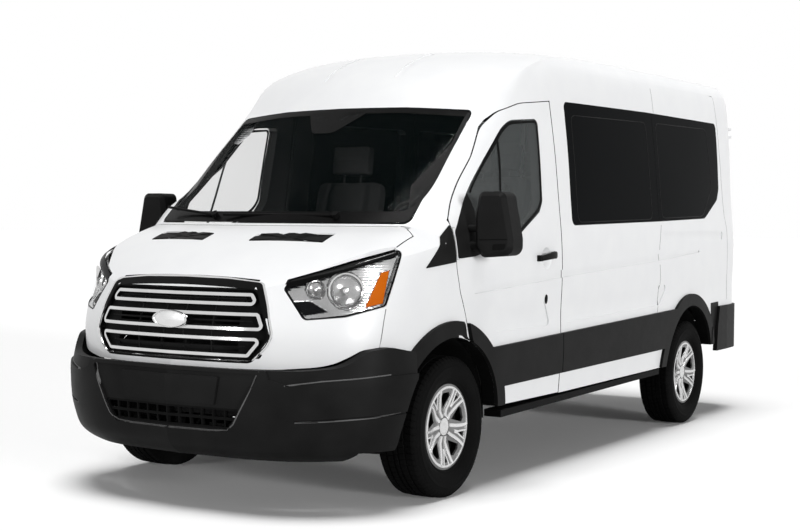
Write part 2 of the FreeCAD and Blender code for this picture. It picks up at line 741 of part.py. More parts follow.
def hood_face(amount):
    """The hood's outline from above."""
    left = [(0.0, -2700.0), (470.0, -2700.0), (560.0, -2572.0), (640.0, -2480.0), (800.0, -2260.0),
            (884.0, -2110.0), (884.0, -1958.0)]
    rear = [(x, hood_rear_y + plan_bow * x * x) for x in (800.0, 600.0, 400.0, 200.0)]
    half = [V(x, y, 0) for x, y in left + rear]
    outline = half + [V(0, hood_rear_y, 0)] + [V(-p.x, p.y, 0) for p in reversed(half[1:])]
    face = rounded_face(outline, 0.0)
    return grown_face(face, amount) if amount else face


def hood_space(amount):
    """Everything above the hood's lower front edge, inside the hood's outline."""
    space = moved(hood_face(amount), z=1000.0).extrude(V(0, 0, 500.0))
    lip = side_face([(-2800.0, 900.0), (-2800.0, hood_lip_z), (-2540.0, hood_lip_z),
                     (-2300.0, 1000.0), (-1900.0, 1000.0), (-1900.0, 900.0)], 0.0)
    return space.cut(side_cutter(lip, -1200.0, 1200.0))


def hood():
    """The hood, a thick folded panel."""
    panel = body.common(hood_space(-panel_gap))
    panel = panel.cut(moved(body, y=hood_thickness * 0.3, z=-hood_thickness))
    panel = panel.cut(pair(headlight_cutter(hood_lamp_gap)))
    vent = pair(plan_prism(vent_outline, 1200.0, 1500.0, 6.0))
    return only_solid(panel.cut(vent.cut(moved(body, y=2.0, z=-vent_depth))))


def bumper_blob():
    """The full round shape that the front bumper's skin is cut from."""
    outlines = []
    heights = []
    for height, half_width, nose_y in bumper_levels:
        scale = half_width / bumper_half_width
        half = [(x * scale, nose_y + sweep) for x, sweep in bumper_sweep]
        half += [(half_width * 0.9, -1250.0), (half_width * 0.45, -1050.0), (0.0, -1000.0)]
        outlines.append(half)
        heights.append(height)
    return outline_solid(outlines, heights, raked=False)


def bumper_region():
    """Where the front bumper shows, seen from the side."""
    outline = [(-2900.0, 200.0), (-2900.0, 690.0), (-2620.0, 690.0), (-2500.0, 706.0),
               (-2386.0, 780.0), (-2290.0, 792.0), (-2190.0, 772.0), (-2120.0, 762.0),
               (-2120.0, 200.0)]
    region = side_cutter(side_face(outline, 0.0, [0, 0, 60, 200, 80, 100, 60, 0, 0]), -1200.0, 1200.0)
    return region.cut(arch_space(front_arch_y, front_arch_z, arch_radius, -1200.0, 1200.0))


def front_bumper(blob):
    """Front bumper skin with its lower intake cut out and its number panel bare."""
    hollow = moved(blob, x=-bumper_wall, y=bumper_wall).common(moved(blob, x=bumper_wall, y=bumper_wall))
    skin_part = blob.cut(hollow).common(bumper_region())
    skin_part = skin_part.cut(block(-1200.0, 1200.0, -2400.0, -900.0, 0.0, 300.0))
    recess = front_prism([(-520.0, 672.0), (520.0, 672.0), (345.0, 396.0), (-345.0, 396.0)],
                         -2900.0, -2500.0, 14.0)
    recess = recess.cut(moved(blob, y=recess_depth))
    plate = front_prism(number_panel, -2900.0, -2500.0, 8.0)
    skin_part = skin_part.cut(recess.cut(plate))
    shelf = front_prism(shelf_outline, -2900.0, -2120.0)
    shelf = shelf.cut(moved(blob, x=-shelf_depth, y=shelf_depth))
    groove = front_prism(groove_outline, -2900.0, -2120.0)
    groove = groove.cut(moved(blob, x=-groove_depth, y=groove_depth))
    skin_part = skin_part.cut(pair(shelf)).cut(pair(groove))
    mouth = front_prism(intake_outline, -2900.0, -2500.0, 12.0)
    return only_solid(skin_part.cut(mouth))


def lower_grille(blob):
    """Slats and fins in the bumper's lower intake."""
    layer = moved(blob, y=12.0).cut(moved(blob, y=34.0))
    layer = layer.common(block(-600.0, 600.0, -2900.0, -2600.0, 380.0, 560.0))
    mouth = front_prism(intake_outline, -2900.0, -2600.0, 12.0)
    frame = mouth.cut(front_prism(inner_intake_outline, -2900.0, -2600.0, 10.0))
    bars = [frame]
    for z in intake_bar_heights:
        bars.append(block(-560.0, 560.0, -2900.0, -2600.0, z - 7.0, z + 7.0).common(mouth))
    for index in range(-intake_fins, intake_fins + 1):
        x = index * intake_fin_pitch
        bars.append(block(x - 4.0, x + 4.0, -2900.0, -2600.0, 380.0, 560.0).common(mouth))
    bar = bars[0].multiFuse(bars[1:])
    return only_solid(layer.common(bar))


def front_layer(depth):
    """The left half of the nose and fender as one thick sheet."""
    inside = moved(body, -depth, depth, -0.7 * depth)
    return left_body.common(block(0.0, 1100.0, -2900.0, -1600.0, 300.0, 1340.0)).cut(inside)


def grille_face(amount=0.0):
    """The grille opening, seen from the front."""
    points = [V(-440.0, 0, 1062.0), (V(440.0, 0, 1062.0)), V(500.0, 0, 930.0), V(532.0, 0, 838.0),
              V(446.0, 0, 716.0), V(-446.0, 0, 716.0), V(-532.0, 0, 838.0), V(-500.0, 0, 930.0)]
    face = rounded_face(points, [50, 50, 0, 30, 50, 50, 30, 0])
    return grown_face(face, amount) if amount else face


def grille_cutter(amount=0.0):
    """The grille outline pushed back through the nose."""
    return moved(grille_face(amount), y=-2900.0).extrude(V(0, 400.0, 0))


def headlight_cutter(amount=0.0):
    """The left headlight's outline, pushed through the corner at 45 degrees."""
    corner = V(1, 1, 0).normalize()
    points = [corner * u + V(0, 0, z) for u, z in headlight_outline]
    face = rounded_face(points, headlight_radii)
    if amount:
        face = grown_face(face, amount)
    out = V(1, -1, 0).normalize()
    face.translate(out * 1200.0)
    return face.extrude(out * 1300.0)


def front_end():
    """Fascia round the grille and lamps, and the two front fenders."""
    layer = front_layer(front_sheet)
    layer = layer.cut(side_cutter(door_opening_face(), 500.0, 1100.0))
    layer = layer.cut(arch_space(front_arch_y, front_arch_z, arch_radius, 300.0, 1100.0))
    layer = layer.cut(bumper_region())
    layer = layer.cut(hood_space(0.0))
    layer = layer.cut(headlight_cutter())
    layer = layer.cut(grille_cutter())
    layer = layer.cut(block(0.0, 1200.0, -1760.0, -1500.0, 0.0, 760.0))
    behind_frame = side_face([(door_front_y, 1200.0), (-2120.0, 1200.0), (-2120.0, 1500.0),
                              (door_front_y, 1500.0)], 0.0)
    layer = layer.cut(side_cutter(behind_frame, 0.0, 1200.0))
    joint = plan_prism([(0.0, -2900.0), (860.0, -2900.0), (860.0, -2150.0), (0.0, -2150.0)],
                       300.0, 1400.0)
    nose = only_solid(layer.common(joint))
    fender = only_solid(layer.cut(joint))
    fascia = only_solid(nose.fuse(mirrored(nose)))
    return fascia, pair(fender)


def headlights():
    """Headlight bowls with two round lamps each, and their clear covers."""
    cutter = headlight_cutter(-seat_gap)
    region = left_body.common(cutter)
    lens = region.cut(moved(body, -lens_thickness, lens_thickness, 0.0))
    bowl = region.common(moved(body, -lamp_depth, lamp_depth, 0.0))
    bowl = bowl.cut(moved(body, -lamp_depth - 70.0, lamp_depth + 70.0, 0.0))
    out = V(1, -1, 0).normalize()
    for x, y, z, radius in headlight_lamps:
        centre = V(x, y, z) - out * 90.0
        bowl = bowl.cut(Part.makeCone(radius * 0.45, radius, 60.0, centre, out))
    return pair(only_solid(lens)), pair(only_solid(bowl))


def grille():
    """The dark grille surround, and its bright frame and three rounded loops."""
    layer = body.common(grille_cutter(-1.0))
    layer = layer.common(block(-600.0, 600.0, -2900.0, -2400.0, 700.0, 1100.0))
    back = layer.common(moved(body, y=grille_depth)).cut(moved(body, y=grille_depth + 14.0))
    wall = layer.cut(grille_cutter(-9.0)).cut(moved(body, y=grille_depth + 14.0))
    surround = only_solid(back.fuse(wall))
    for x_from, x_to, z_from, z_to in grille_slots():
        surround = surround.cut(block(x_from, x_to, -2900.0, -2300.0, z_from, z_to))
    loops = []
    for outline in grille_loops:
        outer = rounded_face([V(x, 0, z) for x, z in outline]
                             + [V(-x, 0, z) for x, z in reversed(outline)], 22.0)
        ring = outer.cut(grown_face(outer, -loop_width))
        ring = moved(ring, y=-2900.0).extrude(V(0, 500.0, 0))
        ring = ring.common(moved(body, y=4.0)).cut(moved(body, y=grille_depth - seat_gap))
        loops += ring.Solids
    return surround, Part.makeCompound(loops)


def grille_slots():
    """The see-through slots inside each grille loop."""
    slots = []
    for outline in grille_loops:
        low = min(z for _, z in outline) + loop_width + 8.0
        high = max(z for _, z in outline) - loop_width - 8.0
        middle = (low + high) / 2.0
        for column in range(-2, 3):
            centre = column * slot_pitch
            for bottom, top in ((low, middle - 5.0), (middle + 5.0, high)):
                slots.append((centre - slot_pitch / 2.0 + 6.0, centre + slot_pitch / 2.0 - 6.0, bottom, top))
    return slots


def body_mouldings():
    """Dark mouldings and wheel lips fixed to the body: front, side and rear lip."""
    front = arch_band(front_arch_y, front_arch_z)
    front = front.cut(side_cutter(door_opening_face(), 500.0, 1200.0))
    front = front.cut(bumper_region()).cut(block(600.0, 1200.0, door_front_y, -1000.0, 0.0, 900.0))
    strip = side_cutter(moulding_face(door_rear_y, rear_arch_y), 700.0, 1100.0)
    strip = strip.fuse(arch_band(rear_arch_y, rear_arch_z))
    strip = strip.cut(arch_space(rear_arch_y, rear_arch_z, arch_radius, 690.0, 1110.0))
    strip = strip.cut(block(600.0, 1200.0, rear_arch_y, 2900.0, 0.0, tail_bottom_z))
    strip = strip.cut(rear_bumper_region())
    strip = strip.cut(block(600.0, 1200.0, -700.0, rear_arch_y, 0.0, sill_bottom_rear_z))
    pieces = [only_solid(proud_layer(front, moulding_proud)),
              only_solid(proud_layer(strip, moulding_proud))]
    return Part.makeCompound(pieces + [mirrored(piece) for piece in pieces])


def rear_bumper_region():
    """Where the rear bumper shows, seen from the side."""
    outline = [(2060.0, 400.0), (2090.0, 640.0), (2130.0, 790.0), (2800.0, 800.0), (2800.0, 400.0)]
    return side_cutter(side_face(outline, 0.0), -1200.0, 1200.0)


def rear_bumper():
    """Rear bumper with its step, wrapped round both corners."""
    half = [(bumper_rear_x, 2000.0), (bumper_rear_x - 8.0, 2300.0), (bumper_rear_x - 24.0, 2500.0),
            (bumper_rear_x - 66.0, 2640.0), (bumper_rear_x - 190.0, 2730.0),
            (bumper_rear_x - 420.0, rear_end_y)]
    outline = [V(x, y, 0) for x, y in half] + [V(-x, y, 0) for x, y in reversed(half)]
    face = rounded_face(outline, [0, 300, 200, 150, 200, 900, 900, 200, 150, 200, 300, 0])
    blob = moved(face, z=bumper_rear_bottom_z).extrude(V(0, 0, 320.0))
    shape = blob.common(rear_bumper_region())
    shape = shape.cut(body.common(block(-1100.0, 1100.0, 1500.0, 3000.0, rear_sill_z - 20.0, 2700.0)))
    inside = moved(grown_face(face, -bumper_wall), z=0.0).extrude(V(0, 0, bumper_rear_top_z - 20.0))
    shape = shape.cut(inside)
    shape = shape.cut(left_shell).cut(mirrored(left_shell))
    middle = block(-rear_opening_x, rear_opening_x, 2500.0, 2900.0, bumper_rear_top_z, 1200.0)
    return only_solid(shape.cut(middle))


def rear_door():
    """Left rear door and its glass."""
    opening = grown_face(rear_opening_face(), -panel_gap)
    opening = moved(opening, y=2500.0).extrude(V(0, 300.0, 0))
    opening = opening.common(block(rear_door_split, 1100.0, 2400.0, 2900.0, 0.0, 2700.0))
    panel = body.cut(moved(body, y=-rear_door_thickness)).common(opening)
    outline = [V(150.0, 0, 1440.0), V(726.0, 0, 1440.0), V(700.0, 0, 2010.0), V(150.0, 0, 2010.0)]
    face = rounded_face(outline, 50.0)
    hole = moved(face, y=2500.0).extrude(V(0, 300.0, 0))
    seat = moved(grown_face(face, 26.0), y=2500.0).extrude(V(0, 300.0, 0))
    recess = seat.cut(moved(body, y=-glass_thickness))
    panel = only_solid(panel.cut(hole).cut(recess))
    pane = moved(grown_face(face, 24.5), y=2500.0).extrude(V(0, 300.0, 0))
    glass = only_solid(pane.common(body).cut(moved(body, y=-glass_thickness)))
    return rear_hinge_leaves(panel), glass


def rear_hinge_leaves(panel):
    """The left rear door with its three hinge straps, each bored for its pin."""
    for z in rear_hinge_heights:
        strap = block(775.0, rear_hinge_x, 2640.0, rear_hinge_y + 4.0, z - 19.5, z + 19.5).cut(body)
        strap = strap.cut(block(strap_bend_x + 20.0, 900.0, 2500.0, rear_hinge_y - 24.0, z - 30.0, z + 30.0))
        beside = block(strap_bend_x, 900.0, 2500.0, 2800.0, z - 30.0, z + 30.0)
        strap = strap.cut(moved(body, y=strap_lift).common(beside))
        knuckle_ring = Part.makeCylinder(13.0, 39.0, V(rear_hinge_x, rear_hinge_y, z - 19.5))
        panel = panel.fuse([strap, knuckle_ring])
        panel = panel.cut(Part.makeCylinder(rear_pin_radius + seat_gap, 60.0,
                                            V(rear_hinge_x, rear_hinge_y, z - 30.0)))
    return only_solid(panel)


def rear_hinge_pins(panel):
    """The left body side with the three brackets and pins that carry the rear door."""
    for z in rear_hinge_heights:
        bracket = block(rear_hinge_x - 12.0, 882.0, 2600.0, rear_hinge_y + 9.0, z - 38.0, z + 38.0)
        bracket = bracket.cut(block(700.0, 1000.0, 2500.0, 2800.0, z - 20.0, z + 20.0)).cut(body)
        bracket = bracket.cut(block(700.0, rear_opening_x, 2500.0, 2800.0, z - 60.0, z + 60.0))
        pin = Part.makeCylinder(rear_pin_radius, 76.0, V(rear_hinge_x, rear_hinge_y, z - 38.0))
        panel = panel.fuse([bracket, pin])
    return only_solid(panel)


def rear_frame():
    """The body's rear cross panel below the doors."""
    shell = body.cut(cabin_space)
    panel = shell.common(block(-rear_opening_x, rear_opening_x, 2400.0, 2800.0, tail_bottom_z, rear_sill_z))
    header = shell.common(block(-side_panel_inner_x, side_panel_inner_x, 2400.0, 2800.0, 2200.0, 2700.0))
    header = header.cut(side_cutter(gutter_face(), -1200.0, 1200.0))
    whole = rear_opening_face()
    hole = moved(whole, y=2350.0).extrude(V(0, 700.0, 0))
    header = header.cut(hole).cut(mirrored(hole))
    return Part.makeCompound([only_solid(panel), only_solid(header)])


def tail_lamps():
    """Tall lamps on the rear corners, outboard of the doors."""
    face = rounded_face([V(858.0, 0, 1000.0), V(934.0, 0, 1000.0), V(922.0, 0, 1500.0),
                         V(858.0, 0, 1500.0)], 14.0)
    lamp = moved(face, y=2500.0).extrude(V(0, 300.0, 0))
    lamp = lamp.common(moved(body, y=14.0)).cut(body)
    return pair(only_solid(lamp))


def raked_slab(y_from, y_to, top_front, thickness):
    """A slab that rises with the body towards the rear."""
    outline = [(y_from, top_front + lift(y_from)), (y_to, top_front + lift(y_to)),
               (y_to, top_front - thickness + lift(y_to)), (y_from, top_front - thickness + lift(y_from))]
    return side_cutter(side_face(outline, 0.0), -1200.0, 1200.0)


def wheelhouse(centre_y, centre_z, x_inner, x_outer):
    """A round wheelhouse shell, open at the bottom and towards the wheel."""
    outer = arch_space(centre_y, centre_z, arch_radius + liner_gap + liner_wall, x_inner, x_outer)
    hollow = arch_space(centre_y, centre_z, arch_radius + liner_gap, x_inner + liner_wall, x_outer + 10.0)
    shell = outer.cut(hollow)
    below = block(0.0, 1300.0, centre_y - 800.0, centre_y + 800.0, -200.0, centre_z)
    return shell.cut(below)


def wheelhouses():
    """Liners inside the four wheel openings."""
    front = wheelhouse(front_arch_y, front_arch_z, front_house_x, 920.0)
    link_slot = block(front_house_x - 10.0, front_house_x + 15.0, front_axle_y - 36.0, front_axle_y + 36.0,
                      300.0, tyre_radius + 166.0)
    front = only_solid(front.cut(link_slot))
    rear = wheelhouse(rear_arch_y, rear_arch_z, rear_house_x, 912.0)
    tube_slot = block(rear_house_x - 10.0, rear_house_x + 15.0, rear_axle_y - 50.0, rear_axle_y + 50.0,
                      300.0, tyre_radius + 50.0)
    rear = only_solid(rear.cut(tube_slot))
    return Part.makeCompound([front, mirrored(front), rear, mirrored(rear)])


def floor_pan():
    """Cabin floor from the firewall to the rear doors, cut round the wheelhouses."""
    slab = raked_slab(firewall_y, 2680.0, floor_top_z, floor_thickness)
    floor = slab.common(cabin_space)
    reach = arch_radius + liner_gap + liner_wall
    for side in (1.0, -1.0):
        for y, z, inner in ((front_arch_y, front_arch_z, front_house_x),
                            (rear_arch_y, rear_arch_z, rear_house_x)):
            space = arch_space(y, z, reach, inner, 1200.0)
            floor = floor.cut(space if side > 0 else mirrored(space))
    return only_solid(floor)


def firewall():
    """The wall and shelf between the engine bay and the cabin."""
    back = firewall_y + firewall_thickness
    foot = floor_top_z - floor_thickness + lift(firewall_y)
    outline = [(firewall_y, foot), (back, foot), (back, firewall_top_z), (shelf_front_y, shelf_front_z),
               (shelf_front_y, shelf_front_z - shelf_drop), (firewall_y, firewall_top_z - shelf_drop)]
    wall_part = side_cutter(side_face(outline, 0.0), -1200.0, 1200.0).common(cabin_space)
    wall_part = wall_part.cut(raked_slab(firewall_y, 2680.0, floor_top_z, floor_thickness))
    reach = arch_radius + liner_gap + liner_wall
    space = arch_space(front_arch_y, front_arch_z, reach, front_house_x, 1200.0)
    door_sweep = block(firewall_corner_x, 1200.0, -1760.0, -1440.0, 1080.0, 1300.0)
    return only_solid(wall_part.cut(pair(space.fuse(door_sweep))))


def revolved(profile, x, y, z):
    """A solid of revolution about a wheel's axis from (x, radius) corners."""
    points = [V(x + across, y, z + radius) for across, radius in profile]
    solid = polygon_face(points).revolve(V(x, y, z), V(1, 0, 0), 360.0)
    if solid.Volume < 0.0:
        solid.reverse()
    return solid


def faceted_ring(profile, centre, across, up, sides):
    """A ring of flat facets about a centre from (along, radius) corners of its section."""
    along = across.cross(up)
    rings = []
    for index in range(sides):
        turn = 2.0 * math.pi * index / sides
        out = up * math.cos(turn) + across * math.sin(turn)
        rings.append([centre + along * reach + out * radius for reach, radius in profile])
    faces = []
    for i in range(sides):
        for j in range(len(profile)):
            faces.append(polygon_face([rings[i][j], rings[i][j - 1], rings[i - 1][j - 1], rings[i - 1][j]]))
    return closed_solid(faces)


def wheel_tyre(x, y):
    """Tyre with a flat tread, rounded shoulders and an open bore."""
    half = tyre_width / 2.0
    rim_half = rim_width / 2.0
    side = [(rim_half - 9.4, rim_radius + seat_gap), (rim_half - 0.4, rim_radius + rim_flange + seat_gap),
            (half * 0.95, rim_radius + 38.0), (half, tyre_radius * 0.80), (half * 0.93, tyre_radius - 22.0),
            (half * 0.7, tyre_radius)]
    profile = side + [(-across, radius) for across, radius in reversed(side)]
    return faceted_ring(profile, V(x, y, tyre_radius), V(0, 1, 0), V(0, 0, 1), tyre_sides)


def leaf_window():
    """One large leaf-shaped window between two spokes, above the hub."""
    middle = (leaf_window_inner + leaf_window_outer) / 2.0 + 22.0
    return polygon_face([V(0, 0, leaf_window_inner), V(0, leaf_window_half_width, middle),
                         V(0, 26, leaf_window_outer - 4), V(0, -26, leaf_window_outer - 4),
                         V(0, -leaf_window_half_width, middle)])


def fork_window():
    """One small three-cornered window in the fork of a spoke."""
    return polygon_face([V(0, 0, fork_window_inner), V(0, 15, fork_window_outer),
                         V(0, -15, fork_window_outer)])


def wheel_rim(x, y, side):
    """Steel rim and disc with its bright five-spoke cover, in one turned section."""
    half = rim_width / 2.0
    inside = rim_radius - rim_wall
    outside = rim_radius + rim_flange
    section = [(hub_face - 12.0, 0.0), (hub_face - 12.0, inside), (-half, inside), (-half, outside),
               (9.0 - half, rim_radius), (half - 9.0, rim_radius), (half, outside),
               (cover_proud, outside - 9.0), (cover_proud - 8.0, 168.0), (cover_proud - 30.0, 80.0),
               (cover_proud - 22.0, 42.0), (cover_proud - 22.0, 0.0), (cover_proud - 42.0, 0.0),
               (cover_proud - 42.0, 84.0), (cover_proud - 20.0, 168.0), (half - 9.0, inside),
               (hub_face, inside), (hub_face, 0.0)]
    wheel = revolved(section, 0.0, 0.0, 0.0)
    cuts = []
    for index in range(spokes):
        turn = index * 360.0 / spokes
        window = leaf_window().extrude(V(200.0, 0, 0))
        window.rotate(V(0, 0, 0), V(1, 0, 0), turn)
        fork = fork_window().extrude(V(200.0, 0, 0))
        fork.rotate(V(0, 0, 0), V(1, 0, 0), turn + 180.0 / spokes)
        cuts += [window, fork]
    wheel = wheel.cut(Part.makeCompound([moved(cut, x=hub_face + 4.0) for cut in cuts]))
    if side < 0:
        wheel = mirrored(wheel)
    return moved(only_solid(wheel), x, y, tyre_radius)


def knuckle(side):
    """Front steering knuckle: hub stub, upright and brake disc."""
    x = front_track / 2.0
    hub = Part.makeCylinder(60.0, hub_face - 12.0 - seat_gap + 40.0, V(x - 40.0, front_axle_y, tyre_radius), V(1, 0, 0))
    disc = Part.makeCylinder(brake_disc_radius, 24.0, V(x - 40.0, front_axle_y, tyre_radius), V(1, 0, 0))
    upright = block(kingpin_x - 24.0, x - 38.0, front_axle_y - 45.0, front_axle_y + 45.0,
                    tyre_radius - 130.0, tyre_radius + 130.0)
    part = hub.fuse([disc, upright])
    pin_hole = Part.makeCylinder(kingpin_radius + knuckle_gap, 400.0,
                                 V(kingpin_x, front_axle_y, tyre_radius - 200.0))
    part = only_solid(part.cut(pin_hole))
    return part if side > 0 else mirrored(part)


def front_subframe():
    """Cross member with lower arms and strut towers that carry the front knuckles."""
    beam = block(-420.0, 420.0, front_axle_y - 180.0, front_axle_y + 180.0, 212.0, 290.0)
    parts = [beam]
    for side in (1.0, -1.0):
        arm = plan_prism([(380.0, front_axle_y - 170.0), (kingpin_x + 24.0, front_axle_y - 30.0),
                          (kingpin_x + 24.0, front_axle_y + 30.0), (380.0, front_axle_y + 170.0)],
                         200.0, tyre_radius - 130.0 - knuckle_gap)
        pin = Part.makeCylinder(kingpin_radius, 285.0, V(kingpin_x, front_axle_y, 210.0))
        link = block(470.0, kingpin_x + 24.0, front_axle_y - 30.0, front_axle_y + 30.0,
                     tyre_radius + 130.0 + knuckle_gap, tyre_radius + 160.0)
        tower = block(440.0, 500.0, front_axle_y - 50.0, front_axle_y + 50.0, 212.0, 650.0)
        for piece in (arm, pin, link, tower):
            parts.append(piece if side > 0 else mirrored(piece))
    rail = block(360.0, 440.0, -2560.0, -1200.0, 560.0, 640.0)
    strut = block(400.0, 500.0, front_axle_y - 50.0, front_axle_y + 50.0, 560.0, 650.0)
    parts += [rail, mirrored(rail), strut, mirrored(strut)]
    engine_side = engine_size[0] / 2.0 + seat_gap
    mount = block(engine_side, 380.0, engine_y - 60.0, engine_y + 60.0, 570.0, 630.0)
    leg = block(370.0, 430.0, -1300.0, -1260.0, 380.0, 600.0)
    parts += [mount, mirrored(mount), leg, mirrored(leg)]
    parts.append(block(-430.0, 430.0, -1300.0, -1260.0, 380.0, gearbox_bottom_z - seat_gap))
    whole = only_solid(parts[0].multiFuse(parts[1:]))
    return only_solid(whole.cut(raked_slab(firewall_y, 2680.0, floor_top_z, floor_thickness)))


def rear_axle():
    """Rear beam axle with its differential and two leaf springs."""
    z = tyre_radius
    tube = Part.makeCylinder(axle_tube_radius, 2.0 * axle_face_x, V(-axle_face_x, rear_axle_y, z), V(1, 0, 0))
    case = revolved([(-130.0, 0.0), (-130.0, 60.0), (-70.0, 145.0), (70.0, 145.0), (130.0, 60.0),
                     (130.0, 0.0)], 0.0, rear_axle_y, z)
    parts = [tube, case]
    for side in (1.0, -1.0):
        face = rear_track / 2.0 + hub_face - 12.0 - seat_gap
        hub = Part.makeCylinder(60.0, face - axle_face_x + 10.0, V(axle_face_x - 10.0, rear_axle_y, z), V(1, 0, 0))
        drum = Part.makeCylinder(140.0, 60.0, V(axle_face_x - 10.0, rear_axle_y, z), V(1, 0, 0))
        leaf = side_prism([(rear_axle_y - spring_reach, 560.0), (rear_axle_y - 60.0, z + 52.0),
                           (rear_axle_y + 60.0, z + 52.0), (rear_axle_y + spring_reach, 600.0),
                           (rear_axle_y + spring_reach, 584.0), (rear_axle_y + 60.0, z + 26.0),
                           (rear_axle_y - 60.0, z + 26.0), (rear_axle_y - spring_reach, 544.0)],
                          spring_x - spring_half_width, spring_x + spring_half_width)
        front_hanger = block(spring_x - 30.0, spring_x + 30.0, rear_axle_y - spring_reach - 20.0,
                             rear_axle_y - spring_reach + 20.0, 544.0, 691.0)
        rear_hanger = block(spring_x - 30.0, spring_x + 30.0, rear_axle_y + spring_reach - 20.0,
                            rear_axle_y + spring_reach + 20.0, 584.0, 705.0)
        for piece in (hub, drum, leaf, front_hanger, rear_hanger):
            parts.append(piece if side > 0 else mirrored(piece))
    whole = only_solid(parts[0].multiFuse(parts[1:]))
    return only_solid(whole.cut(raked_slab(firewall_y, 2680.0, floor_top_z, floor_thickness)))


def engine():
    """The engine as one plain block at its place."""
    wide, long, tall = engine_size
    return block(-wide / 2.0, wide / 2.0, engine_y - long / 2.0, engine_y + long / 2.0,
                 engine_z - tall / 2.0, engine_z + tall / 2.0)


def fuel_tank():
    """Fuel tank slung under the floor on the left."""
    tank = block(150.0, 640.0, -900.0, 300.0, 400.0, 640.0)
    tank = tank.makeChamfer(30.0, tank.Edges)
    strap = block(300.0, 340.0, -700.0, -660.0, 638.0, 660.0)
    return only_solid(tank.fuse([strap, moved(strap, y=800.0, z=10.0)]).cut(
        raked_slab(firewall_y, 2680.0, floor_top_z, floor_thickness)))


def driveline():
    """Gearbox, propeller shaft and exhaust under the floor."""
    box = block(-150.0, 150.0, engine_y + engine_size[1] / 2.0, -1150.0, gearbox_bottom_z, 600.0)
    shaft = rod(V(0, -1150.0, 500.0), V(0, rear_axle_y - 146.0, 372.0), 38.0)
    return only_solid(box.fuse(shaft))


def exhaust():
    """Exhaust pipe with its silencer on the right."""
    pipe_height = 400.0
    points = [V(-260.0, -1225.0, pipe_height), V(-420.0, -900.0, pipe_height), V(-420.0, 700.0, pipe_height)]
    pipes = [rod(points[0], points[1], 28.0), rod(points[1], points[2], 28.0)]
    silencer = rod(V(-420.0, -200.0, pipe_height), V(-420.0, 450.0, pipe_height), 95.0)
    joint = Part.makeCylinder(28.0, 56.0, points[1] - V(0, 0, 28.0))
    hanger = block(-440.0, -400.0, 80.0, 120.0, pipe_height, floor_top_z - floor_thickness + lift(80.0) - seat_gap)
    return only_solid(silencer.fuse(pipes + [joint, hanger]))


def running_boards():
    """Black step rails under the sills, with the brackets that hang them."""
    outline = [(-1250.0, 352.0), (985.0, 392.0), (985.0, 426.0), (-1250.0, 390.0)]
    rail = side_prism(outline, 900.0, 1000.0)
    parts = [rail]
    for y in (-900.0, 50.0, 900.0):
        height = 372.0 + 0.02 * (y + 900.0)
        parts.append(block(700.0, 905.0, y - 20.0, y + 20.0, height, height + 24.0))
        parts.append(block(700.0, 740.0, y - 20.0, y + 20.0, height,
                           floor_top_z - floor_thickness + lift(y - 20.0) - seat_gap))
    return pair(only_solid(parts[0].multiFuse(parts[1:])))


def door_mirror(sail):
    """Left door mirror: a large housing on two short arms, on its corner piece."""
    face = rounded_face([V(x, mirror_front_y, z) for x, z in mirror_outline], mirror_radii)
    housing = face.extrude(V(0, mirror_rear_y - mirror_front_y, 0))
    rim = [edge for edge in housing.Edges if edge.BoundBox.YMax < mirror_front_y + 1.0]
    housing = housing.makeChamfer(mirror_bevel, rim)
    arm = rod(V(mirror_root_x, -1590.0, 1258.0), V(1090.0, -1540.0, 1266.0), 26.0)
    upper = rod(V(mirror_root_x, -1580.0, 1345.0), V(1090.0, -1540.0, 1352.0), 20.0)
    mirror = housing.fuse([arm, upper]).cut(body)
    glass_seat = moved(grown_face(face, -mirror_bevel), y=mirror_rear_y - mirror_front_y - 6.0)
    glass_seat = glass_seat.extrude(V(0, 30.0, 0))
    return only_solid(only_solid(mirror.cut(glass_seat)).fuse(sail))


def dashboard():
    """Dashboard across the cab, with an instrument hood and the steering column."""
    outline = [(-1860.0, 1230.0), (-1600.0, 1262.0), (-1330.0, 1240.0), (-1270.0, 1150.0),
               (-1330.0, 860.0), (-1440.0, 840.0), (-1468.0, 1100.0)]
    board = side_prism(outline, -800.0, 800.0, [10, 100, 60, 60, 40, 20, 10])
    hood_part = side_prism([(-1560.0, 1250.0), (-1330.0, 1300.0), (-1280.0, 1180.0), (-1400.0, 1150.0)],
                           300.0, 700.0, 30.0)
    axis = V(0, -math.cos(column_angle), -math.sin(column_angle))
    centre = V(steering_wheel_x, steering_wheel_y, steering_wheel_z)
    column = rod(centre + axis * (hub_depth + column_gap), centre + axis * 300.0, 34.0)
    return only_solid(board.fuse([hood_part, column]).cut(firewall()))


def steering_wheel():
    """Steering wheel with three spokes."""
    axis = V(0, -math.cos(column_angle), -math.sin(column_angle))
    up = V(0, -math.sin(column_angle), math.cos(column_angle))
    centre = V(steering_wheel_x, steering_wheel_y, steering_wheel_z)
    section = [(14.0, 178.0), (14.0, 192.0), (0.0, 199.0), (-14.0, 192.0), (-14.0, 178.0), (0.0, 171.0)]
    ring = faceted_ring(section, centre, V(1, 0, 0), up, 28)
    parts = [Part.makeCylinder(52.0, hub_depth + 6.0, centre - axis * 6.0, axis)]
    for angle in (90.0, 180.0, 270.0):
        turn = math.radians(angle)
        out = up * math.cos(turn) + V(1, 0, 0) * math.sin(turn)
        parts.append(rod(centre + out * 20.0 + axis * 8.0, centre + out * 184.0, 13.0))
    return only_solid(ring.fuse(parts))


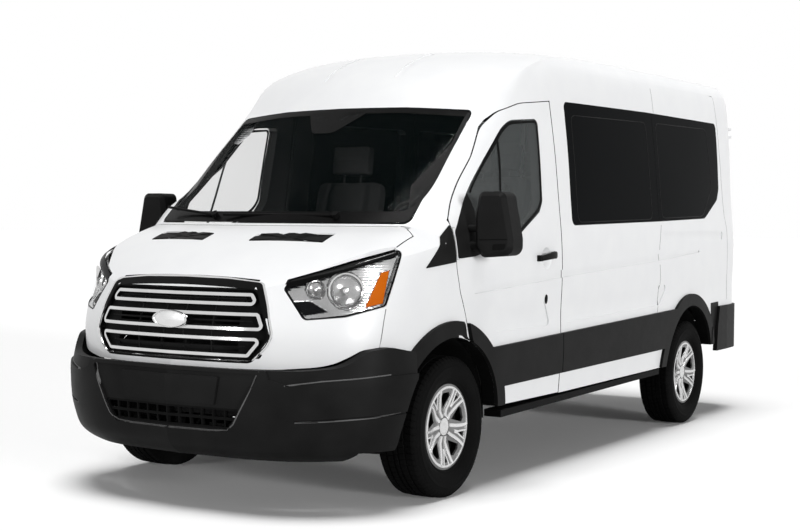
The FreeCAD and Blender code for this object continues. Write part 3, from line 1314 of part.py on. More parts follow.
def seat(x, y, z, wide):
    """One seat: base, cushion, back and headrest, fused."""
    half = wide / 2.0
    foot = floor_top_z + seat_gap
    base = side_prism([(y - 200.0, foot + lift(y - 200.0)), (y + 220.0, foot + lift(y + 220.0)),
                       (y + 220.0, z + 260.0), (y - 200.0, z + 260.0)], x - wide * 0.36, x + wide * 0.36)
    cushion = side_prism([(y - 240.0, z + 250.0), (y + 200.0, z + 250.0), (y + 230.0, z + 290.0),
                          (y + 200.0, z + 350.0), (y - 240.0, z + 385.0), (y - 280.0, z + 350.0),
                          (y - 280.0, z + 290.0)], x - half, x + half)
    back = side_prism([(y + 130.0, z + 300.0), (y + 240.0, z + 300.0), (y + 370.0, z + 900.0),
                       (y + 370.0, z + 950.0), (y + 330.0, z + 980.0), (y + 285.0, z + 950.0)],
                      x - half + 10.0, x + half - 10.0)
    rest = side_prism([(y + 300.0, z + 1000.0), (y + 370.0, z + 1000.0), (y + 390.0, z + 1100.0),
                       (y + 370.0, z + 1180.0), (y + 310.0, z + 1180.0), (y + 290.0, z + 1100.0)],
                      x - 140.0, x + 140.0)
    posts = [block(x + side * 60.0 - 7.0, x + side * 60.0 + 7.0, y + 325.0, y + 339.0, z + 930.0, z + 1020.0)
             for side in (-1.0, 1.0)]
    return only_solid(base.fuse([cushion, back, rest] + posts))


def seats():
    """Driver and passenger seats, and the rows of seats in the cabin."""
    height = floor_top_z + lift(-860.0) + 8.0
    left = seat(seat_x, -860.0, height, 500.0)
    places = [left, mirrored(left)]
    for y, row in seat_rows:
        height = floor_top_z + lift(y) + 10.0
        for x in row:
            places.append(seat(x, y, height, cabin_seat_width))
    return Part.makeCompound(places)


def wipers():
    """Two windshield wipers lying along the foot of the glass."""
    out = V(0, -0.64, 0.77)
    pieces = []
    for root_x, tip_x, tip_y, tip_z in wiper_lines:
        root_y = -2010.0 + plan_bow * root_x * root_x
        root = V(root_x, root_y, 1398.0) + out * 14.0
        tip = V(tip_x, tip_y, tip_z) + out * 14.0
        arm = rod(root, tip, 7.0)
        boss = Part.makeCylinder(18.0, 30.0, root - out * 14.0, out)
        pieces.append(only_solid(arm.fuse(boss).cut(body)))
    return Part.makeCompound(pieces)


def export_nodes(nodes):
    """Write each node to its own STEP file."""
    os.makedirs("parts", exist_ok=True)
    for name, shape in nodes.items():
        shape.exportStep(os.path.join("parts", name + ".step"))


def all_nodes():
    """Every node of the minibus by name."""
    blob = bumper_blob()
    nodes = {}
    nodes["door_left"] = door_panel()
    nodes["door_glass_left"], sail = door_window_parts()
    nodes["door_moulding_left"] = door_moulding()
    nodes["mirror_left"] = door_mirror(sail)
    for name in ("door", "door_glass", "door_moulding", "mirror"):
        nodes[name + "_right"] = mirrored(nodes[name + "_left"])
    nodes["body_side_left"] = side_panel()
    panes = side_glass()
    nodes["side_windows"] = Part.makeCompound(panes + [mirrored(pane) for pane in panes])
    full_right = mirrored(nodes["body_side_left"])
    sliding = side_face(sliding_door_outline, 0.0, sliding_door_radii)
    hole = mirrored(side_cutter(sliding, 500.0, 1100.0))
    leaf = mirrored(side_cutter(sliding, 500.0, 1100.0, -panel_gap))
    nodes["body_side_right"] = only_solid(full_right.cut(hole))
    nodes["sliding_door"] = only_solid(full_right.common(leaf))
    nodes["roof_cap"], nodes["roof"] = roof_panels()
    nodes["windshield"] = windshield()
    nodes["windshield_frame"] = windshield_frame()
    nodes["hood"] = hood()
    nodes["front_fascia"], nodes["front_fenders"] = front_end()
    nodes["headlight_covers"], nodes["headlight_bowls"] = headlights()
    nodes["grille_surround"], nodes["grille_loops"] = grille()
    nodes["front_bumper"] = front_bumper(blob)
    nodes["lower_grille"] = lower_grille(blob)
    nodes["body_mouldings"] = body_mouldings()
    nodes["rear_bumper"] = rear_bumper()
    nodes["rear_door_left"], nodes["rear_glass_left"] = rear_door()
    nodes["rear_door_right"] = mirrored(nodes["rear_door_left"])
    nodes["rear_glass_right"] = mirrored(nodes["rear_glass_left"])
    nodes["rear_frame"] = rear_frame()
    nodes["tail_lamps"] = tail_lamps()
    nodes["wheelhouses"] = wheelhouses()
    nodes["floor_pan"] = floor_pan()
    nodes["firewall"] = firewall()
    nodes["running_boards"] = running_boards()
    nodes["dashboard"] = dashboard()
    nodes["steering_wheel"] = steering_wheel()
    nodes["seats"] = seats()
    nodes["wipers"] = wipers()
    nodes["front_subframe"] = front_subframe()
    nodes["rear_axle"] = rear_axle()
    nodes["engine_block"] = engine()
    nodes["gearbox_and_shaft"] = driveline()
    nodes["exhaust"] = exhaust()
    nodes["fuel_tank"] = fuel_tank()
    for side, word in ((1.0, "left"), (-1.0, "right")):
        nodes["knuckle_" + word] = knuckle(side)
        for end, y, track in (("front", front_axle_y, front_track), ("rear", rear_axle_y, rear_track)):
            nodes["tyre_%s_%s" % (end, word)] = wheel_tyre(side * track / 2.0, y)
            nodes["rim_%s_%s" % (end, word)] = wheel_rim(side * track / 2.0, y, side)
    return nodes


export_nodes(all_nodes())
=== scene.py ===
import math

import bmesh
import bpy
from mathutils import Matrix, Vector
from mathutils.bvhtree import BVHTree


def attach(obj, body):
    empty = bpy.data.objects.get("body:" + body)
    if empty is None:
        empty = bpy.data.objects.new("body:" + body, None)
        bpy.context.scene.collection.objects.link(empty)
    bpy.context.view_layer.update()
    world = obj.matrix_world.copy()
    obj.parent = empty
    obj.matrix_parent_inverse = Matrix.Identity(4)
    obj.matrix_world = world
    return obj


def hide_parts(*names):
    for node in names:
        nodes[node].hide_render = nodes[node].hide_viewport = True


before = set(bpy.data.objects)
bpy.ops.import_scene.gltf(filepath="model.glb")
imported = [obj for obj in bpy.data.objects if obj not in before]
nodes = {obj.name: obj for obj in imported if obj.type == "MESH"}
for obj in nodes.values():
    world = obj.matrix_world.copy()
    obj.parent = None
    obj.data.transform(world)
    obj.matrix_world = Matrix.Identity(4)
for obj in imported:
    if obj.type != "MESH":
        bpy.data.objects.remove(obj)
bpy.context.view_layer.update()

# The camera, solved from the photograph: place, direction, roll and lens.
CAMERA_PLACE = (4.507, -7.932, 1.369)
CAMERA_AZIMUTH = 31.778
CAMERA_ELEVATION = 1.669
CAMERA_ROLL = 0.474
CAMERA_LENS = 64.41
SENSOR_WIDTH = 36.0

# Wheels, in metres.
WHEEL_RADIUS = 0.356
FRONT_AXLE_Y = -1.7425
REAR_AXLE_Y = 1.5575
FRONT_WHEEL_X = 0.866
REAR_WHEEL_X = 0.8715

# Ways along and across the vehicle: rays are cast towards the rear, the right and the ground.
LEFTWARD = Vector((1.0, 0.0, 0.0))
REARWARD = Vector((0.0, 1.0, 0.0))
UPWARD = Vector((0.0, 0.0, 1.0))

# Where rays start: beside the left flank, and ahead of the nose, windshield and mirror.
FLANK_START_X = 1.3
NOSE_START_Y = -3.2
GLASS_START_Y = -2.6
MIRROR_START_Y = -2.0
HOOD_START_Z = 1.6


def linked(name, data):
    """A new object with this data, in the scene."""
    made = bpy.data.objects.new(name, data)
    bpy.context.scene.collection.objects.link(made)
    return made


def mesh_data(name, bm):
    """A mesh from a bmesh, which is then freed."""
    data = bpy.data.meshes.new(name)
    bm.to_mesh(data)
    bm.free()
    return data


def smooth_shading(mesh, angle):
    """Smooth shading with crisp edges above an angle in degrees."""
    mesh.shade_smooth()
    mesh.set_sharp_from_angle(angle=math.radians(angle))


def direction_from(azimuth, elevation):
    """The way towards a place at an azimuth from the front and an elevation, in degrees."""
    turn = math.radians(azimuth)
    rise = math.radians(elevation)
    return Vector((math.sin(turn) * math.cos(rise), -math.cos(turn) * math.cos(rise), math.sin(rise)))


def make_camera():
    """The camera at the photograph's viewpoint."""
    turn = math.radians(CAMERA_AZIMUTH)
    roll = math.radians(CAMERA_ROLL)
    back = direction_from(CAMERA_AZIMUTH, CAMERA_ELEVATION)
    level = Vector((math.cos(turn), math.sin(turn), 0.0))
    upright = back.cross(level)
    right = level * math.cos(roll) + upright * math.sin(roll)
    up = upright * math.cos(roll) - level * math.sin(roll)
    data = bpy.data.cameras.new("camera")
    data.lens = CAMERA_LENS
    data.sensor_width = SENSOR_WIDTH
    data.clip_start = 0.1
    data.clip_end = 500.0
    camera = linked("camera", data)
    place = Matrix((right, up, back)).transposed().to_4x4()
    place.translation = Vector(CAMERA_PLACE)
    camera.matrix_world = place
    bpy.context.scene.camera = camera


def new_material(name):
    """An empty node material with its output and Principled shader."""
    material = bpy.data.materials.new(name)
    material.use_nodes = True
    tree = material.node_tree
    shader = tree.nodes["Principled BSDF"]
    return material, tree, shader


def colour(value):
    """A grey or a colour as four numbers."""
    if isinstance(value, (int, float)):
        return (value, value, value, 1.0)
    return (*value, 1.0)


def noise(tree, scale, detail):
    """A noise texture in the object's own coordinates, in metres."""
    place = tree.nodes.new("ShaderNodeTexCoord")
    texture = tree.nodes.new("ShaderNodeTexNoise")
    texture.inputs["Scale"].default_value = scale
    texture.inputs["Detail"].default_value = detail
    tree.links.new(place.outputs["Object"], texture.inputs["Vector"])
    return texture.outputs["Fac"]


def ramp(tree, source, low, high, start=0.3, end=0.7):
    """A colour that runs from low to high as the source goes from start to end."""
    node = tree.nodes.new("ShaderNodeValToRGB")
    node.color_ramp.elements[0].position = start
    node.color_ramp.elements[0].color = colour(low)
    node.color_ramp.elements[1].position = end
    node.color_ramp.elements[1].color = colour(high)
    tree.links.new(source, node.inputs["Fac"])
    return node.outputs["Color"]


def number_range(tree, source, low, high):
    """A number that runs from low to high with the source."""
    node = tree.nodes.new("ShaderNodeMapRange")
    node.inputs["To Min"].default_value = low
    node.inputs["To Max"].default_value = high
    tree.links.new(source, node.inputs["Value"])
    return node.outputs["Result"]


def add_bump(tree, shader, source, distance):
    """Bump from a source, of a distance in metres."""
    node = tree.nodes.new("ShaderNodeBump")
    node.inputs["Distance"].default_value = distance
    tree.links.new(source, node.inputs["Height"])
    tree.links.new(node.outputs["Normal"], shader.inputs["Normal"])


PATCH_SCALE = 6.0


def surface(name, low, high, roughness, grain, depth, metallic=0.0, vary=0.06, coat=0.0, shine=0.5):
    """A finish: slow colour change, uneven roughness and a fine grain in bump."""
    material, tree, shader = new_material(name)
    slow = noise(tree, PATCH_SCALE, 4.0)
    tree.links.new(ramp(tree, slow, low, high), shader.inputs["Base Color"])
    rough = noise(tree, PATCH_SCALE * 4.0, 2.0)
    tree.links.new(number_range(tree, rough, roughness - vary, roughness + vary), shader.inputs["Roughness"])
    shader.inputs["Metallic"].default_value = metallic
    shader.inputs["Specular IOR Level"].default_value = shine
    shader.inputs["Coat Weight"].default_value = coat
    shader.inputs["Coat Roughness"].default_value = 0.04
    if depth:
        add_bump(tree, shader, noise(tree, grain, 2.0), depth)
    return material


def glass(name, tint, alpha, shine):
    """Sheet glass that lets the view through by one minus alpha."""
    material, tree, shader = new_material(name)
    shader.inputs["Base Color"].default_value = colour(tint)
    shader.inputs["Alpha"].default_value = alpha
    shader.inputs["IOR"].default_value = 1.5
    shader.inputs["Specular IOR Level"].default_value = shine
    haze = noise(tree, 3.0, 4.0)
    tree.links.new(number_range(tree, haze, 0.02, 0.06), shader.inputs["Roughness"])
    return material


# Each finish: material name, low and high colour, roughness, grain scale and depth, other settings.
FINISHES = {
    "paint": ("white_paint", (0.690, 0.695, 0.705), (0.715, 0.72, 0.725), 0.34, 45.0, 0.00002,
              {"coat": 0.12, "shine": 0.35}),
    "plastic": ("charcoal_plastic", 0.0070, 0.0105, 0.46, 700.0, 0.00006, {"shine": 0.035}),
    "black": ("black_plastic", 0.004, 0.006, 0.45, 700.0, 0.00004, {"shine": 0.02}),
    "gloss": ("gloss_black", 0.003, 0.0045, 0.22, 200.0, 0.0, {"shine": 0.02}),
    "chrome": ("chrome", 0.58, 0.66, 0.12, 60.0, 0.0, {"metallic": 1.0, "vary": 0.04}),
    "bright": ("lamp_reflector", 0.34, 0.48, 0.20, 90.0, 0.0, {"metallic": 1.0}),
    "silver": ("silver_paint", 0.60, 0.70, 0.24, 700.0, 0.00002, {"metallic": 0.92}),
    # wheel_shade is a darker copy of the silver cover finish: painted shade on the wheels' CAD faces beside the
    # bright raised bars.
    "wheel_shade": ("wheel_shade", 0.13, 0.19, 0.38, 700.0, 0.00002, {"metallic": 0.8}),
    "steel": ("dark_steel", 0.008, 0.014, 0.6, 120.0, 0.0002, {"metallic": 0.4, "shine": 0.1}),
    "rubber": ("tyre_rubber", 0.0030, 0.0055, 0.7, 500.0, 0.0001, {"shine": 0.02}),
    "fabric": ("seat_fabric", 0.018, 0.027, 0.9, 700.0, 0.0004, {"shine": 0.1}),
    "trim": ("dark_trim", 0.014, 0.020, 0.65, 700.0, 0.0002, {"shine": 0.1}),
    "seam": ("panel_seam", 0.10, 0.14, 0.8, 300.0, 0.0001, {"shine": 0.1}),
    # Pale plastic for the strips along the bumper's folds: a painted highlight.
    "bumper_highlight": ("highlight_plastic", 0.070, 0.095, 0.5, 500.0, 0.0001, {"shine": 0.2}),
    "liner": ("grey_liner", 0.008, 0.012, 0.9, 300.0, 0.0006, {"shine": 0.05}),
    "headliner": ("headliner", 0.09, 0.12, 0.95, 500.0, 0.0003, {"shine": 0.1}),
    "carpet": ("floor_mat", 0.010, 0.016, 0.9, 700.0, 0.0005, {"shine": 0.05}),
    "amber": ("amber_lens", (0.46, 0.085, 0.0005), (0.54, 0.115, 0.001), 0.3, 200.0, 0.0001, {"shine": 0.02}),
    "red": ("red_lens", (0.26, 0.003, 0.003), (0.34, 0.006, 0.006), 0.15, 200.0, 0.0001, {"coat": 0.3}),
    "mirror": ("mirror_face", 0.82, 0.86, 0.03, 60.0, 0.0, {"metallic": 1.0, "vary": 0.01})}

# Each glass: material name, tint, alpha and gloss.
GLASSES = {
    "side_clear": ("door_glass", (0.25, 0.27, 0.27), 0.12, 0.10),
    "clear": ("clear_glass", (0.01, 0.018, 0.018), 0.05, 0.10),
    "tinted": ("tinted_glass", (0.0030, 0.0034, 0.0038), 0.985, 0.006),
    "lamp_clear": ("lamp_glass", (0.05, 0.055, 0.06), 0.03, 0.04)}


def make_materials():
    """Every finish on the minibus."""
    made = {key: surface(*row[:-1], **row[-1]) for key, row in FINISHES.items()}
    made.update({key: glass(*row) for key, row in GLASSES.items()})
    return made


def dress(names, material):
    """Give CAD nodes a finish and smooth shading with crisp edges."""
    for name in names:
        mesh = nodes[name].data
        mesh.materials.clear()
        mesh.materials.append(material)
        smooth_shading(mesh, 28.0)


PAINTED = ["body_side_left", "body_side_right", "sliding_door", "roof_cap", "roof", "windshield_frame", "hood",
           "front_fascia", "front_fenders", "rear_frame", "door_left", "door_right", "rear_door_left",
           "rear_door_right"]
PANES = ["windshield", "door_glass_left", "door_glass_right", "side_windows", "rear_glass_left",
         "rear_glass_right"]
WHEELS = ["front_left", "front_right", "rear_left", "rear_right"]


def dress_all(m):
    """Finishes for all the CAD nodes that stay in view."""
    dress(PAINTED, m["paint"])
    dress(["front_bumper", "body_mouldings", "door_moulding_left", "door_moulding_right", "rear_bumper",
           "mirror_left", "mirror_right"], m["plastic"])
    dress(["grille_surround", "lower_grille", "running_boards", "wipers"], m["black"])
    dress(["grille_loops"], m["chrome"])
    dress(["headlight_bowls"], m["bright"])
    dress(["headlight_covers"], m["lamp_clear"])
    dress(PANES[:1], m["clear"])
    dress(PANES[1:3], m["side_clear"])
    dress(PANES[3:], m["tinted"])
    dress(["tail_lamps"], m["red"])
    # Painted shade: the rims take the darker wheel_shade silver.
    dress(["rim_" + wheel for wheel in WHEELS], m["wheel_shade"])
    dress(["tyre_" + wheel for wheel in WHEELS], m["rubber"])
    dress(["knuckle_left", "knuckle_right", "front_subframe", "rear_axle", "engine_block", "gearbox_and_shaft",
           "exhaust", "fuel_tank"], m["steel"])
    dress(["wheelhouses"], m["liner"])
    dress(["floor_pan"], m["carpet"])
    dress(["firewall", "dashboard", "steering_wheel"], m["trim"])
    dress(["seats"], m["fabric"])


def owned_bvh(names):
    """One ray target over several nodes, with the owner of every face."""
    points = []
    faces = []
    owners = []
    for name in names:
        first = len(points)
        mesh = nodes[name].data
        points.extend(vertex.co.copy() for vertex in mesh.vertices)
        faces.extend([first + index for index in polygon.vertices] for polygon in mesh.polygons)
        owners.extend([name] * len(mesh.polygons))
    return BVHTree.FromPolygons(points, faces), owners


def bvh_of(names):
    """A ray target over some CAD nodes."""
    return owned_bvh(names)[0]


# A painted panel's finishes by slot, and the distances in metres that tell them apart.
PAINT, BLACK, TRIM, HEADLINER = range(4)
# Faces across a gap narrower than SEAM_GAP take black as painted shade.
SEAM_GAP = 0.014
CABIN_DEPTH = 0.2
RAY_LENGTH = 4.0
ARCH_REACH = 0.60
FLANK_X = 0.6
DOOR_EDGE_Y = -1.69
CEILING_Z = 1.9


def ways_out(name, outward):
    """The ways in which a panel's outer faces see open air."""
    if name in ("roof", "roof_cap"):
        return [outward, UPWARD]
    if name.startswith("rear"):
        return [outward, REARWARD]
    if name in ("hood", "front_fascia", "front_fenders", "windshield_frame"):
        return [outward, UPWARD, -REARWARD]
    return [outward]


def in_arch(middle, normal):
    """Whether a face looks at a wheel from inside its arch."""
    for axle in (FRONT_AXLE_Y, REAR_AXLE_Y):
        spoke = Vector((0.0, axle - middle.y, WHEEL_RADIUS - middle.z))
        if spoke.length < ARCH_REACH and normal.dot(spoke.normalized()) > 0.55:
            return abs(middle.x) > FLANK_X
    return False


def panel_finish(name, middle, normal, around, owners):
    """A face's finish: paint outside, black as painted shade in the seams, black in the arches, trim and
    headliner inside.
    """
    if name.startswith("rear_door") and normal.y < -0.3 or name == "hood" and normal.z < -0.3:
        return TRIM
    # Painted shade: the door's front face in the gap at the mirror corner is painted black.
    if name in ("door_left", "door_right") and normal.y < -0.5 and middle.y < DOOR_EDGE_Y:
        return BLACK
    # Painted shade: a face that meets another panel across a gap of at most SEAM_GAP is painted black; faces
    # inside an arch are black too.
    place, _, index, distance = around.ray_cast(middle + normal * 0.0005, normal, RAY_LENGTH)
    if place is not None and distance <= SEAM_GAP and owners[index] != name or in_arch(middle, normal):
        return BLACK
    outward = LEFTWARD * math.copysign(1.0, middle.x)
    lifted = middle + normal * 0.001
    outside = any(around.ray_cast(lifted, way, RAY_LENGTH)[0] is None for way in ways_out(name, outward))
    inward = abs(middle.x) > 0.7 and normal.x * middle.x < -0.3 * abs(middle.x) and middle.y < 2.6
    _, _, cover, reach = around.ray_cast(middle + normal * 0.007, outward, 0.3)
    if cover is not None and reach > 0.001 and owners[cover] in PANES and abs(middle.x) > FLANK_X:
        inward = True
        outside = False
    if outside or place is None or SEAM_GAP < distance < CABIN_DEPTH and not inward:
        return PAINT
    if normal.z < -0.5 and middle.z > CEILING_Z:
        return HEADLINER
    return TRIM if distance > CABIN_DEPTH or inward else PAINT


def line_cabin(m):
    """Painted shade in the seams, where faces across a narrow gap are made black; black wheel arches; trim on the
    cabin side of every painted panel.
    """
    around, owners = owned_bvh(PAINTED + PANES + ["floor_pan", "firewall", "engine_block", "wheelhouses",
                                                  "headlight_bowls"])
    for name in PAINTED:
        mesh = nodes[name].data
        for extra in ("black", "trim", "headliner"):
            mesh.materials.append(m[extra])
        for polygon in mesh.polygons:
            polygon.material_index = panel_finish(name, polygon.center, polygon.normal, around, owners)


def darken_wheels(m):
    """Painted shade: the deep parts of each wheel behind its bright cover take the dark steel finish."""
    for end, reach in (("front", FRONT_WHEEL_X), ("rear", REAR_WHEEL_X)):
        for word in ("left", "right"):
            mesh = nodes["rim_%s_%s" % (end, word)].data
            mesh.materials.append(m["steel"])
            for polygon in mesh.polygons:
                out = abs(polygon.center.x) - reach
                # Painted shade: faces less than 45 mm out from the wheel's middle, and faces that don't look
                # outward less than 75 mm out, take the dark steel.
                if out < 0.045 or abs(polygon.normal.x) < 0.3 and out < 0.075:
                    polygon.material_index = 1


def mesh_object(name, bm, material, body, smooth):
    """A finished piece from a bmesh, riding on a body."""
    data = mesh_data(name, bm)
    data.materials.append(material)
    smooth_shading(data, smooth)
    piece = linked(name, data)
    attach(piece, body)
    return piece


def cast(tree, start, direction):
    """Where a ray meets a tree: place and normal that faces the ray."""
    heading = Vector(direction).normalized()
    place, normal, _, _ = tree.ray_cast(Vector(start), heading)
    if place is None:
        place, normal, _, _ = tree.find_nearest(Vector(start) + heading)
    if normal.dot(heading) > 0.0:
        normal = -normal
    return place, normal


def mirror_piece(piece, name, body):
    """The same piece on the right-hand side."""
    data = piece.data.copy()
    data.transform(Matrix.Scale(-1.0, 4, (1.0, 0.0, 0.0)))
    data.flip_normals()
    twin = linked(name, data)
    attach(twin, body)
    return twin


def finish_piece(name, bm, key, body, smooth):
    """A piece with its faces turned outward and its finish."""
    bmesh.ops.recalc_face_normals(bm, faces=bm.faces[:])
    piece = mesh_object(name, bm, m[key], body, smooth)
    return piece


def finish_pair(name, bm, key, body, smooth):
    """A left-hand piece and its mirrored twin, on the left and right body."""
    left = finish_piece(name + "_left", bm, key, body, smooth)
    mirror_piece(left, name + "_right", body.replace("left", "right"))


def join_rows(bm, rows, ring=False, loop=False, caps=False):
    """Faces between rows of vertices: ring closes each row, loop joins the last row to the first."""
    made = []
    for near, far in zip(rows, rows[1:] + rows[:1] if loop else rows[1:]):
        count = len(near)
        for step in range(count if ring else count - 1):
            after = (step + 1) % count
            made.append(bm.faces.new((near[step], near[after], far[after], far[step])))
    if caps:
        bm.faces.new(rows[0])
        bm.faces.new(list(reversed(rows[-1])))
    return made


def lathe(bm, profile, place, sides):
    """Turned surface about the X axis through place, from (across, radius) corners."""
    rings = []
    for index in range(sides):
        angle = 2.0 * math.pi * index / sides
        rings.append([bm.verts.new((place[0] + across, place[1] + radius * math.sin(angle),
                                    place[2] + radius * math.cos(angle))) for across, radius in profile])
    join_rows(bm, rings, loop=True)


def turned(bm, profile, place, axis, sides):
    """Turned surface about any axis through place, from (along, radius) corners."""
    forward = Vector(axis).normalized()
    across = forward.orthogonal().normalized()
    up = forward.cross(across)
    rings = []
    for index in range(sides):
        angle = 2.0 * math.pi * index / sides
        out = across * math.cos(angle) + up * math.sin(angle)
        rings.append([bm.verts.new(Vector(place) + forward * along + out * radius) for along, radius in profile])
    join_rows(bm, rings, loop=True)


def rod(bm, start, end, radius, sides):
    """A round bar between two places, not quite upright, with capped ends."""
    along = (Vector(end) - Vector(start)).normalized()
    side = along.cross(UPWARD).normalized()
    up = side.cross(along)
    rings = []
    for place in (start, end):
        ring = []
        for step in range(sides):
            angle = 2.0 * math.pi * step / sides
            ring.append(bm.verts.new(Vector(place) + side * (radius * math.cos(angle))
                                     + up * (radius * math.sin(angle))))
        rings.append(ring)
    join_rows(bm, rings, ring=True)
    bm.faces.new(list(reversed(rings[0])))
    bm.faces.new(rings[1])


def box(bm, low, high, bevel):
    """A box with rounded edges."""
    made = bmesh.ops.create_cube(bm, size=1.0)["verts"]
    size = Vector(high) - Vector(low)
    middle = (Vector(high) + Vector(low)) / 2.0
    for vertex in made:
        vertex.co = vertex.co * size + middle
    edges = list({edge for vertex in made for edge in vertex.link_edges})
    bmesh.ops.bevel(bm, geom=edges, offset=bevel, segments=2, profile=0.7, affect="EDGES")


def laid_strip(bm, tree, line, direction, half, proud, sink, start):
    """A raised strip along a line of (place, side) pairs, laid on a surface seen along direction."""
    rows = []
    for point, across in line:
        origin = Vector(point) - Vector(direction).normalized() * start
        side = Vector(across).normalized()
        row = []
        for offset, height in ((-half, -sink), (-half, proud * 0.6), (-half * 0.6, proud), (half * 0.6, proud),
                               (half, proud * 0.6), (half, -sink)):
            place, normal = cast(tree, origin + side * offset, direction)
            row.append(bm.verts.new(place + normal * height))
        rows.append(row)
    join_rows(bm, rows, caps=True)


def laid_patch(bm, tree, outline, direction, proud, sink, start, rings):
    """A raised patch with a closed outline, laid on a surface seen along direction."""
    heading = Vector(direction).normalized()
    middle = sum((Vector(point) for point in outline), Vector()) / len(outline)
    foot = []
    levels = [[] for _ in range(rings)]
    for point in outline:
        for ring, level in enumerate(levels):
            spot = Vector(point).lerp(middle, ring / rings)
            place, normal = cast(tree, spot - heading * start, direction)
            level.append(bm.verts.new(place + normal * proud))
            if ring == 0:
                foot.append(bm.verts.new(place - normal * sink))
    place, normal = cast(tree, middle - heading * start, direction)
    centre = bm.verts.new(place + normal * proud)
    join_rows(bm, [foot] + levels, ring=True)
    for near, far in zip(levels[-1], levels[-1][1:] + levels[-1][:1]):
        bm.faces.new((near, far, centre))


def flank(rows):
    """Places beside the left flank, from (y, z) pairs."""
    return [Vector((FLANK_START_X, y, z)) for y, z in rows]


def ahead(rows, y):
    """Places ahead of the front at y, from (x, z) pairs."""
    return [Vector((x, y, z)) for x, z in rows]


def straight(near, far, count, side):
    """A straight line of (place, side) pairs in equal steps."""
    return [(Vector(near).lerp(Vector(far), step / count), side) for step in range(count + 1)]


def spread(points, step, closed=False):
    """Points along straight runs, no further apart than a step."""
    made = []
    count = len(points)
    spans = count if closed else count - 1
    for index in range(spans):
        near = Vector(points[index])
        far = Vector(points[(index + 1) % count])
        parts = max(1, math.ceil((far - near).length / step))
        made += [near.lerp(far, part / parts) for part in range(parts)]
    if not closed:
        made.append(Vector(points[-1]))
    return made


def rounded(points, radius, steps):
    """A closed outline with its corners rounded."""
    made = []
    count = len(points)
    for index in range(count):
        here = Vector(points[index])
        before = Vector(points[index - 1]) - here
        after = Vector(points[(index + 1) % count]) - here
        reach = min(radius, before.length * 0.45, after.length * 0.45)
        first = here + before.normalized() * reach
        last = here + after.normalized() * reach
        for step in range(steps + 1):
            part = step / steps
            made.append(first * (1.0 - part) ** 2 + here * (2.0 * part * (1.0 - part)) + last * part ** 2)
    return made


def tyre_profile(groove):
    """The tyre's outer section from bead to bead; groove lowers the tread between blocks."""
    side = [(0.0795, 0.2040), (0.0885, 0.2152), (0.0950, 0.2210), (0.0975, 0.2262), (0.0968, 0.2300),
            (0.1010, 0.2340), (0.1085, 0.2470), (0.1145, 0.2640), (0.1170, 0.2820), (0.1165, 0.2960),
            (0.1174, 0.2978), (0.1174, 0.3030), (0.1158, 0.3046), (0.1125, 0.3190), (0.1098, 0.3270),
            (0.1085, 0.3280 - groove * 0.35), (0.1050, 0.3380 - groove * 0.6), (0.0985, 0.3460 - groove),
            (0.0905, 0.3510 - groove)]
    tread = []
    for middle, half in ((0.0740, 0.0165), (0.0330, 0.0145), (0.0, 0.0085)):
        crown = 0.3558 - 0.55 * middle * middle
        low = crown - 0.0075
        shade = groove if middle > 0.05 else groove * 0.8
        tread += [(middle + half + 0.0015, low), (middle + half, crown - shade)]
        if middle > 0.0:
            tread += [(middle - half, crown - shade), (middle - half - 0.0015, low)]
    half_section = side + tread
    return half_section + [(-across, radius) for across, radius in reversed(half_section)]


def make_tyre(name, x, y, body):
    """A tyre with ribs, cross cuts and sidewall rings."""
    bm = bmesh.new()
    pitches = 68
    block = tyre_profile(0.0)
    cut = tyre_profile(0.0045)
    rings = []
    for pitch in range(pitches):
        for part, section in ((0.0, block), (0.74, block), (0.80, cut), (0.94, cut)):
            base = 2.0 * math.pi * (pitch + part) / pitches
            ring = []
            for across, radius in section:
                skew = 0.035 * math.sin(across * 26.0) if radius > 0.32 else 0.0
                angle = base + skew
                ring.append(bm.verts.new((x + across, y + radius * math.sin(angle),
                                          WHEEL_RADIUS + radius * math.cos(angle))))
            rings.append(ring)
    join_rows(bm, rings, ring=True, loop=True)
    return finish_piece(name, bm, "rubber", body, 32.0)


def cover_height(radius):
    """How far out the wheel cover's face stands at a radius."""
    rows = [(0.0, 0.069), (0.042, 0.069), (0.080, 0.061), (0.168, 0.083), (0.206, 0.091)]
    for (near, low), (far, high) in zip(rows, rows[1:]):
        if radius <= far:
            return low + (high - low) * (radius - near) / (far - near)
    return 0.091


def cover_bar(bm, x, y, side, line, width, height):
    """A tapered raised bar on the wheel cover along (radius, angle) places."""
    rows = []
    for index, (radius, angle) in enumerate(line):
        near = line[max(0, index - 1)]
        far = line[min(len(line) - 1, index + 1)]
        here = Vector((0.0, radius * math.sin(angle), radius * math.cos(angle)))
        along = Vector((0.0, far[0] * math.sin(far[1]) - near[0] * math.sin(near[1]),
                        far[0] * math.cos(far[1]) - near[0] * math.cos(near[1]))).normalized()
        across = Vector((0.0, along.z, -along.y))
        wide = width[0] + (width[1] - width[0]) * index / (len(line) - 1)
        row = []
        for offset, up in ((-1.0, -0.004), (-0.75, 0.7), (-0.3, 1.0), (0.3, 1.0), (0.75, 0.7), (1.0, -0.004)):
            place = here + across * (offset * wide)
            reach = math.hypot(place.y, place.z)
            out = cover_height(reach) + (height * up if up > 0.0 else -0.003)
            row.append(bm.verts.new((x + side * out, y + place.y, WHEEL_RADIUS + place.z)))
        rows.append(row)
    join_rows(bm, rows, caps=True)


# A cover's raised bars on each side of a spoke: (radius, angle) places, half widths at both ends, height.
SPOKE_BARS = (
    ([(0.050, 0.34), (0.085, 0.27), (0.120, 0.25), (0.150, 0.255), (0.178, 0.27), (0.196, 0.30)],
     (0.013, 0.010), 0.0085),
    ([(0.112, 0.03), (0.138, 0.035), (0.160, 0.085), (0.184, 0.115), (0.196, 0.125)], (0.006, 0.0055), 0.0045))


